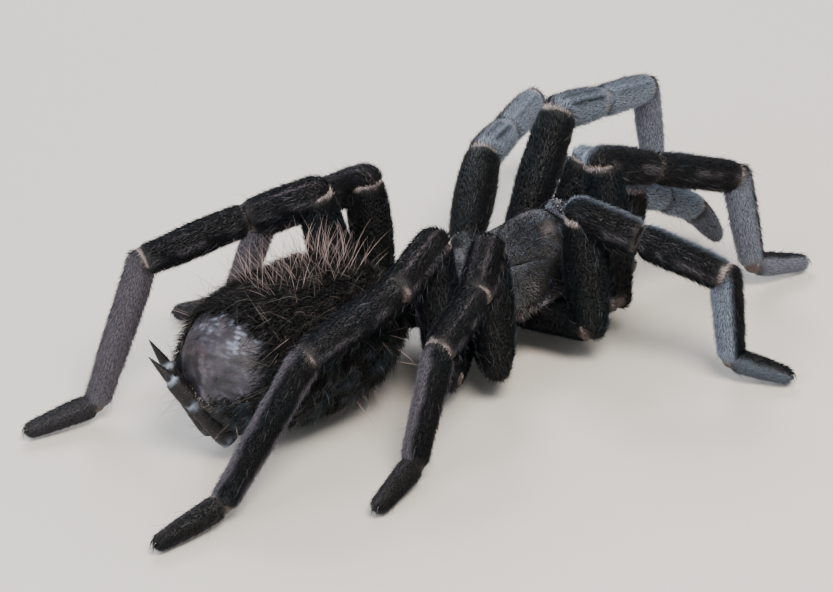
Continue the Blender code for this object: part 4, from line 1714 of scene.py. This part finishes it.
class HairWorks:
    """Grows coats over skin with one Geometry Nodes tree."""

    NUMBERS = ("Density", "Length", "Pile", "Slenderness", "Lift", "Curl", "Jitter", "Spread")
    INPUTS = {"Skin": "Geometry", "Cover": "String", **dict.fromkeys(NUMBERS, "Float")}
    INPUTS |= {"Segments": "Int", "Seed": "Int", "Finish": "Material"}
    KEPT = ("position", "tint", "rise", "shade", UNWRAP, "sharp_face", "material_index")
    BOWS = (0.45, 1.0, 1.65)  # shares of the curl that the three kinds of blade have
    SWIRL_SIZE = 2.6  # millimetres over which neighbouring hairs lean the same way
    LOWEST = 0.02  # millimetres over the floor

    def __init__(self) -> None:
        """Builds the tree that scatters blades, lays them along the skin and realizes them."""
        self.tree = bpy.data.node_groups.new("grow_hair", "GeometryNodeTree")
        face = self.tree.interface
        for name, kind in self.INPUTS.items():
            face.new_socket(name, in_out="INPUT", socket_type=f"NodeSocket{kind}")
        face.new_socket("Hair", in_out="OUTPUT", socket_type="NodeSocketGeometry")
        self.given = self.add("NodeGroupInput").outputs
        points, up = self.strewn()
        planted = self.add(
            "GeometryNodeInstanceOnPoints",
            None,
            {
                "Points": points,
                "Instance": self.sheaf(),
                "Pick Instance": True,
                "Instance Index": self.chance(0, 2, 5, "INT"),
                "Rotation": self.rotation(up),
                "Scale": self.size(),
            },
        )
        self.add("NodeGroupOutput", None, {0: self.dressed(planted)})

    def add(self, kind: str, settings: Values | None = None, inputs: Values | None = None) -> Node:
        """Adds a node to the hair tree."""
        return add_node(self.tree, kind, settings, inputs)

    def number(self, operation: str, *values: object) -> Socket:
        """One step of arithmetic on numbers."""
        return self.add("ShaderNodeMath", {"operation": operation}, dict(enumerate(values))).outputs[0]

    def vector(self, operation: str, first: object, second: object = None) -> Socket:
        """One step of arithmetic on vectors."""
        inputs = {0: first}
        if second is not None:
            inputs["Scale" if operation == "SCALE" else 1] = second
        node = self.add("ShaderNodeVectorMath", {"operation": operation}, inputs)
        return node.outputs["Value" if operation == "DOT_PRODUCT" else "Vector"]

    def joined(self, across: object, aside: object, height: object) -> Socket:
        """A vector from its three parts."""
        return self.add("ShaderNodeCombineXYZ", None, {0: across, 1: aside, 2: height}).outputs[0]

    def named(self, name: object, kind: str = "FLOAT") -> Socket:
        """An attribute of the skin or the hair, read by its name."""
        return self.add("GeometryNodeInputNamedAttribute", {"data_type": kind}, {"Name": name}).outputs[0]

    def store(self, geometry: object, name: str, value: Socket, kind: str, domain: str = "POINT") -> Node:
        """Keeps a value on the geometry under a name."""
        settings = {"data_type": kind, "domain": domain}
        inputs = {"Geometry": geometry, "Name": name, "Value": value}
        return self.add("GeometryNodeStoreNamedAttribute", settings, inputs)

    def chance(self, low: object, high: object, step: int, kind: str = "FLOAT") -> Socket:
        """A random value for each hair, different for each step number."""
        node = self.add("FunctionNodeRandomValue", {"data_type": kind})
        lowest, highest, output = {"FLOAT_VECTOR": (0, 1, 0), "FLOAT": (2, 3, 1), "INT": (4, 5, 2)}[kind]
        node.inputs[lowest].default_value = low
        node.inputs[highest].default_value = high
        self.tree.links.new(self.number("ADD", self.given["Seed"], float(step)), node.inputs["Seed"])
        return node.outputs[output]

    def strewn(self) -> tuple[Node, Socket]:
        """Strews the roots over the skin.

        Returns:
            The roots, each with its place on the unwrap and a shade, and the skin's normal at each.
        """
        density = self.number("MULTIPLY", self.given["Density"], 1.0 / MM**2)
        amount = self.number("MULTIPLY", density, self.named(self.given["Cover"]))
        roots = self.add(
            "GeometryNodeDistributePointsOnFaces",
            {"distribute_method": "RANDOM"},
            {"Mesh": self.given["Skin"], "Density": amount, "Seed": self.given["Seed"]},
        )
        kept = self.add("GeometryNodeCaptureAttribute", None, {"Geometry": roots.outputs["Points"]})
        kept.capture_items.new("VECTOR", "normal")
        self.tree.links.new(roots.outputs["Normal"], kept.inputs[1])
        rooted = self.store(kept.outputs[0], "root", self.named(UNWRAP, "FLOAT_VECTOR"), "FLOAT_VECTOR")
        cleared = self.add("GeometryNodeRemoveAttribute", None, {"Geometry": rooted, "Name": UNWRAP})
        return self.store(cleared, "shade", self.chance(0.0, 1.0, 1), "FLOAT"), kept.outputs[1]

    def rotation(self, up: Socket) -> Node:
        """Turns each hair along the way the coat lies, raised by the lift and strayed by the jitter.

        Args:
            up: The skin's normal.

        Returns:
            The node whose output is the rotation.
        """
        lie = self.named("lie", "FLOAT_VECTOR")
        flat = self.vector("SUBTRACT", lie, self.vector("SCALE", up, self.vector("DOT_PRODUCT", lie, up)))
        flat = self.vector("NORMALIZE", flat)
        place = self.add("GeometryNodeInputPosition")
        scale = 1.0 / (self.SWIRL_SIZE * MM)
        swirl = self.add("ShaderNodeTexNoise", None, {"Vector": place, "Scale": scale, "Detail": 2.0})
        drift = self.vector("SUBTRACT", swirl.outputs["Color"], (0.5, 0.5, 0.5))
        drift = self.vector("SCALE", drift, self.number("MULTIPLY", self.given["Jitter"], 1.8))
        stray = self.chance((-1.0,) * 3, (1.0,) * 3, 2, "FLOAT_VECTOR")
        stray = self.vector("SCALE", stray, self.given["Jitter"])
        angle = self.number("RADIANS", self.number("MULTIPLY", self.given["Lift"], self.chance(0.7, 1.3, 3)))
        along = self.vector("SCALE", flat, self.number("COSINE", angle))
        raised = self.vector("SCALE", up, self.number("SINE", angle))
        aim = self.vector("ADD", self.vector("ADD", along, raised), self.vector("ADD", drift, stray))
        first = self.add("FunctionNodeAlignRotationToVector", {"axis": "Z"}, {"Vector": aim})
        return self.add(
            "FunctionNodeAlignRotationToVector",
            {"axis": "X", "pivot_axis": "Z"},
            {"Rotation": first, "Vector": self.vector("SCALE", up, -1.0)},
        )

    def size(self) -> Socket:
        """The length of each hair in metres."""
        pile = self.number("MULTIPLY", self.given["Pile"], self.named("pile"))
        by_pile = self.number("ADD", pile, self.number("SUBTRACT", 1.0, self.given["Pile"]))
        size = self.number("MULTIPLY", self.number("MULTIPLY", self.given["Length"], MM), by_pile)
        loose = self.number("SUBTRACT", self.chance(0.0, 1.0, 4), 0.5)
        loose = self.number("MULTIPLY", loose, self.number("MULTIPLY", self.given["Spread"], 2.0))
        return self.number("MULTIPLY", size, self.number("ADD", 1.0, loose))

    def sheaf(self) -> Node:
        """Three kinds of blade to pick from, from nearly straight to well curled."""
        sheaf = self.add("GeometryNodeJoinGeometry")
        for bow in self.BOWS:
            self.tree.links.new(self.blade(bow).outputs[0], sheaf.inputs[0])
        return sheaf

    def blade(self, bow: float) -> Node:
        """Makes one three-sided blade of unit length, as an instance.

        Args:
            bow: Share of the curl that this blade has.

        Returns:
            The node whose output is the instance.
        """
        cone = self.add(
            "GeometryNodeMeshCone",
            {"fill_type": "NGON"},
            {
                "Vertices": 3,
                "Side Segments": self.given["Segments"],
                "Radius Top": 0.0,
                "Radius Bottom": self.given["Slenderness"],
                "Depth": 1.0,
            },
        )
        spot = self.add("GeometryNodeInputPosition").outputs[0]
        parts = self.add("ShaderNodeSeparateXYZ", None, {0: spot}).outputs
        height = parts[2]
        marked = self.store(cone.outputs[0], "rise", height, "FLOAT")
        across = self.number("DIVIDE", parts[0], self.number("MULTIPLY", self.given["Slenderness"], 2.0))
        leaf = self.joined(across, self.number("SUBTRACT", height, 0.5), 0.0)
        leafed = self.store(marked, "leaf", leaf, "FLOAT_VECTOR")
        square = self.number("MULTIPLY", height, height)
        swing = self.number("MULTIPLY", square, self.number("MULTIPLY", self.given["Curl"], bow))
        fuller = self.vector("SCALE", spot, self.number("MULTIPLY", height, 0.9))
        fuller = self.vector("MULTIPLY", fuller, (1.0, 1.0, 0.0))
        bowed = self.joined(swing, 0.0, self.number("MULTIPLY", square, -0.12))
        offset = self.vector("ADD", fuller, bowed)
        bent = self.add("GeometryNodeSetPosition", None, {"Geometry": leafed, "Offset": offset})
        even = self.add("GeometryNodeSetShadeSmooth", None, {"Geometry": bent})
        return self.add("GeometryNodeGeometryToInstance", None, {0: even})

    def dressed(self, planted: Node) -> Node:
        """Makes plain geometry of the hairs, over the floor, with its unwrap and its material.

        Args:
            planted: The hairs as instances.

        Returns:
            The node whose output is the finished coat.
        """
        real = self.add("GeometryNodeRealizeInstances", None, {"Geometry": planted})
        parts = self.add("ShaderNodeSeparateXYZ", None, {0: self.add("GeometryNodeInputPosition")}).outputs
        held = self.joined(parts[0], parts[1], self.number("MAXIMUM", parts[2], self.LOWEST * MM))
        laid = self.add("GeometryNodeSetPosition", None, {"Geometry": real, "Position": held})
        patch = self.vector("SCALE", self.named("leaf", "FLOAT_VECTOR"), TUFT_PATCH)
        unwrap = self.vector("ADD", self.named("root", "FLOAT_VECTOR"), patch)
        unwrapped = self.store(laid, UNWRAP, unwrap, "FLOAT2", "CORNER")
        inputs = {"Geometry": unwrapped, "Material": self.given["Finish"]}
        return self.add("GeometryNodeSetMaterial", None, inputs)

    def grow(
        self, name: str, skin: Piece, coat: Coat, finish: Material, seed: int
    ) -> Piece:
        """Grows one coat over a piece of skin and returns it as a plain mesh object.

        Args:
            name: The new piece's name.
            skin: The skin it grows on.
            coat: The kind of hair.
            finish: Its material.
            seed: Fixes what is random.

        Returns:
            The hair.
        """
        ground = link_object(name, skin.data)
        modifier = ground.modifiers.new("grow", "NODES")
        modifier.node_group = self.tree
        values = {**coat.values(), "Seed": seed, "Finish": finish}
        for item in self.tree.interface.items_tree:
            if item.in_out == "INPUT" and item.name in values:
                modifier[item.identifier] = values[item.name]
        graph = bpy.context.evaluated_depsgraph_get()
        graph.update()
        data = bpy.data.meshes.new_from_object(ground.evaluated_get(graph))
        data.name = name
        bpy.data.objects.remove(ground)
        for layer in list(data.attributes):
            if layer.name not in self.KEPT and not layer.name.startswith(".") and not layer.is_required:
                data.attributes.remove(layer)
        return link_object(name, data)


VELVET = Coat(
    "velvet", "velvet", VELVET_HAIR,
    density=25.0, length=0.86, slenderness=0.040, lift=33.0, curl=0.15, jitter=0.20, segments=1,
)
FRINGE = Coat(
    "fringe", "fringe", PALE_HAIR,
    density=26.0, length=0.70, slenderness=0.045, lift=34.0, curl=0.10, jitter=0.35,
    by_pile=False, segments=1,
)
BRISTLE = Coat(
    "bristle", "bristle", GUARD_HAIR,
    density=0.55, length=2.5, slenderness=0.0085, lift=42.0, curl=0.35, jitter=0.25,
    by_pile=False, segments=3,
)
PELT = Coat(
    "pelt", "velvet", SHIELD_HAIR,
    density=26.0, length=1.0, slenderness=0.050, lift=24.0, curl=0.15, jitter=0.24, segments=1,
)
UNDERFUR = Coat(
    "underfur", "velvet", VELVET_HAIR,
    density=15.0, length=0.78, slenderness=0.034, lift=42.0, curl=0.20, jitter=0.40, segments=1,
)
FUR = Coat(
    "fur", "velvet", VELVET_HAIR,
    density=5.6, length=1.08, slenderness=0.017, lift=44.0, curl=0.60, jitter=0.50,
)
STRANDS = Coat(
    "strands", "velvet", CURLY_HAIR,
    density=0.55, length=1.6, slenderness=0.010, lift=50.0, curl=1.1, jitter=0.60, segments=4,
)
MANE = Coat(
    "mane", "bristle", MANE_HAIR,
    density=1.20, length=6.4, slenderness=0.0053, lift=84.0, curl=0.12, jitter=0.07,
    by_pile=False, segments=4,
)
LIMB_COATS = (VELVET, FRINGE, BRISTLE)
TRUNK_COATS = {
    "carapace": (PELT, BRISTLE),
    "underside": (PELT, BRISTLE),
    "abdomen": (UNDERFUR, FUR, STRANDS, FRINGE, MANE),
}


# ---- stage
@dataclass(frozen=True)
class Lamp:
    """One soft square area light that faces the animal."""

    name: str
    at: tuple[float, float, float]  # in metres
    side: float  # in metres
    power: float  # in watts
    tone: str

    def hang(self) -> None:
        """Adds the light to the scene."""
        data = bpy.data.lights.new(self.name, "AREA")
        data.size = self.side
        data.energy = self.power
        data.color = linear(self.tone)
        lamp = link_object(self.name, data)
        lamp.location = self.at
        lamp.rotation_mode = "QUATERNION"
        lamp.rotation_quaternion = (Vector((0.0, 0.0, 0.01)) - Vector(self.at)).to_track_quat("-Z", "Y")


@dataclass(frozen=True)
class Studio:
    """The camera, the pale floor and the soft lights."""

    camera_at: tuple[float, float, float] = (-319.65, 184.85, 190.5)
    azimuth: float = 240.97
    elevation: float = 26.0
    roll: float = -8.0
    lens: float = 119.8
    floor_half: float = 3.0  # in metres
    floor_tone: str = "#cfcac2"
    sky_tone: str = "#e9edf2"
    sky_strength: float = 0.55

    LAMPS = (
        Lamp("key", (-0.45, 0.05, 0.60), 0.30, 9.0, "#fff6ea"),
        Lamp("fill", (-0.10, 0.60, 0.35), 0.50, 3.5, "#eaf1ff"),
        Lamp("rim", (0.50, -0.25, 0.45), 0.35, 5.0, "#f4f6ff"),
    )

    def camera(self) -> None:
        """Places the camera."""
        data = bpy.data.cameras.new("camera")
        data.lens = self.lens
        data.sensor_width = 36.0
        data.clip_start = 0.01
        camera = link_object("camera", data)
        turn = math.radians(self.azimuth)
        rise = math.radians(self.elevation)
        ahead = Vector((-math.sin(turn) * math.cos(rise), math.cos(turn) * math.cos(rise), -math.sin(rise)))
        aimed = ahead.to_track_quat("-Z", "Y").to_matrix()
        aimed = aimed @ Matrix.Rotation(math.radians(self.roll), 3, "Z")
        camera.rotation_mode = "QUATERNION"
        camera.rotation_quaternion = aimed.to_quaternion()
        camera.location = Vector(self.camera_at) * MM
        bpy.context.scene.camera = camera

    def floor(self) -> None:
        """Lays the pale studio floor."""
        half = self.floor_half
        corners = [(-half, -half, 0.0), (half, -half, 0.0), (half, half, 0.0), (-half, half, 0.0)]
        data = bpy.data.meshes.new("floor")
        data.from_pydata(corners, [], [(0, 1, 2, 3)])
        floor = link_object("floor", data)
        # Matte seamless paper: it takes a soft shadow and throws no glare.
        material, _, shader = new_finish("seamless_paper_matte")
        shader.inputs["Base Color"].default_value = (*linear(self.floor_tone), 1.0)
        shader.inputs["Roughness"].default_value = 0.9
        data.materials.append(material)

    def sky(self) -> None:
        """Fills the room with even pale light."""
        world = bpy.data.worlds.new("studio")
        world.use_nodes = True
        background = world.node_tree.nodes["Background"]
        background.inputs["Color"].default_value = (*linear(self.sky_tone), 1.0)
        background.inputs["Strength"].default_value = self.sky_strength
        bpy.context.scene.world = world

    def build(self) -> None:
        """Builds the whole stage."""
        self.camera()
        self.floor()
        for lamp in self.LAMPS:
            lamp.hang()
        self.sky()


# ---- the animal
@dataclass(frozen=True)
class Hollow:
    """An upright oval in body axes that the roots of the limbs pass into."""

    forward: float
    half_length: float
    half_width: float

    def reach(self, local: Array) -> Array:
        """Nought at its middle line, one at its wall."""
        forward, left, _ = parts(local)
        return ((forward - self.forward) / self.half_length) ** 2 + (left / self.half_width) ** 2


class Tarantula:
    """Gathers the limbs and the trunk, makes the skin and grows the coats."""

    SPINNERETS = (
        Spinneret(Side.RIGHT, (-46.9, -2.0, -2.7), 146.0, 57.0),
        Spinneret(Side.LEFT, (-46.9, 2.6, -2.9), 160.0, 68.0),
    )
    UNDER_SHIELD = Hollow(3.0, 14.4, 11.2)
    STERNUM = Hollow(1.4, 9.5, 6.0)
    EGG = (17.1, 11.6, 10.6)  # half sizes of the abdomen's inside
    SLOTS = {"abdomen": "abdomen_coat", "spinnerets": "abdomen_coat"}
    SLOTS |= {"carapace": "carapace_coat", "underside": "underside_coat"}

    def __init__(self) -> None:
        """Lays out every part."""
        legs = [make_leg(side, number) for side in Side for number in LEG_BUILDS]
        palps = [make_palp(side, slot) for slot, side in enumerate(Side)]
        self.limbs = [*legs, *palps]
        self.mound = EyeMound()
        self.grids: dict[str, list[Grid]] = {limb.prefix: [limb.grid()] for limb in self.limbs}
        self.grids |= {
            "carapace": [Carapace().grid(), self.mound.grid()],
            "abdomen": [Abdomen().grid()],
            "underside": Underside().grids(),
            "jaws": [Chelicera(side).grid() for side in Side],
            "spinnerets": [spinneret.grid() for spinneret in self.SPINNERETS],
        }
        self.shave_buried()

    def every_grid(self) -> list[Grid]:
        """All the skin's grids, the limbs' first."""
        return [grid for part in self.grids.values() for grid in part]

    def shave_buried(self) -> None:
        """Takes the hair off skin that lies inside another part, so that none grows through."""
        capsules = [row for limb in self.limbs for row in limb.capsules()]
        for grid in self.every_grid():
            points = grid.points
            buried = self.inside_body(points) if grid.family else np.zeros(points.shape[:2])
            numbers = np.broadcast_to(grid.owner[:, None], buried.shape)
            for family, number, start, end, radius in capsules:
                span = end - start
                share = np.clip(((points - start) @ span) / float(span @ span), 0.0, 1.0)
                away = np.linalg.norm(points - (start + share[..., None] * span), axis=2)
                inside = smooth(away, radius * 0.97, radius * 0.86)
                if family == grid.family:
                    inside = np.where(numbers == number, 0.0, inside)
                buried = np.maximum(buried, inside)
            grid.shave(buried)

    def inside_body(self, points: Array) -> Array:
        """One where points lie inside the shield, the sternum or the abdomen."""
        local = BODY.local(points)
        under_shield = smooth(self.UNDER_SHIELD.reach(local), 1.0, 0.85) * smooth(parts(local)[2], -2.2, -1.4)
        buried = np.maximum(under_shield, smooth(self.STERNUM.reach(local), 1.0, 0.85))
        abdomen = Abdomen()
        middle = np.array([abdomen.front - abdomen.length / 2.0, 0.0, abdomen.lift])
        egg = np.linalg.norm((local - middle) / np.array(self.EGG), axis=2)
        return np.maximum(buried, smooth(egg, 1.0, 0.95))

    def skin(self) -> Piece:
        """Joins every grid into the one skin and keeps it over the floor."""
        made = mesh_of_grids("skin", self.every_grid())
        for point in made.data.vertices:
            point.co.z = max(point.co.z, SKIN_FLOOR * MM)
        return made

    def grow_coats(self, works: HairWorks) -> None:
        """Grows every part's coats, each with its own seed.

        Args:
            works: The hair tree.
        """
        finishes = {
            finish: finish.make()
            for finish in (VELVET_HAIR, PALE_HAIR, MANE_HAIR, GUARD_HAIR, SHIELD_HAIR, CURLY_HAIR)
        }
        seed = 1
        for part, grids in self.grids.items():
            ground = mesh_of_grids(f"ground_{part}", grids)
            for coat in TRUNK_COATS.get(part, LIMB_COATS):
                hair = works.grow(f"{part}_{coat.name}", ground, coat, finishes[coat.finish], seed)
                seed += 1
                if hair.data.polygons:
                    attach(hair, finishes[coat.finish])
                else:
                    bpy.data.objects.remove(hair)
            bpy.data.objects.remove(ground)


def attach(piece: Piece, material: Material, nodes: Iterable[str] = ()) -> None:
    """Gives a piece its finish and ties it to the frame.

    Args:
        piece: The finished piece.
        material: Its material.
        nodes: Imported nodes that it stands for.
    """
    piece.data.materials.clear()
    piece.data.materials.append(material)
    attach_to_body(piece, "root")
    if nodes:
        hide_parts(*nodes)
    LOG.info("%s: %d polygons", piece.name, len(piece.data.polygons))


def main() -> None:
    """Builds the stage, the animal and its coats in order."""
    logging.basicConfig(level=logging.INFO, format="%(message)s")
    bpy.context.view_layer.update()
    Studio().build()
    animal = Tarantula()
    skin = animal.skin()
    animal.grow_coats(HairWorks())
    covered = [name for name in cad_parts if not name.startswith(("fang", "eye"))]
    attach(skin, Cuticle().make(), covered)
    horn = FANG_HORN.make()
    for side in Side:
        attach(Fang(side).make(), horn, [f"fang_{side.word}"])
    attach(Claws(animal.limbs).make(), horn)
    attach(animal.mound.eyes(), EYE_LENS.make(), ["eye_mound"])


if __name__ == "__main__":
    main()
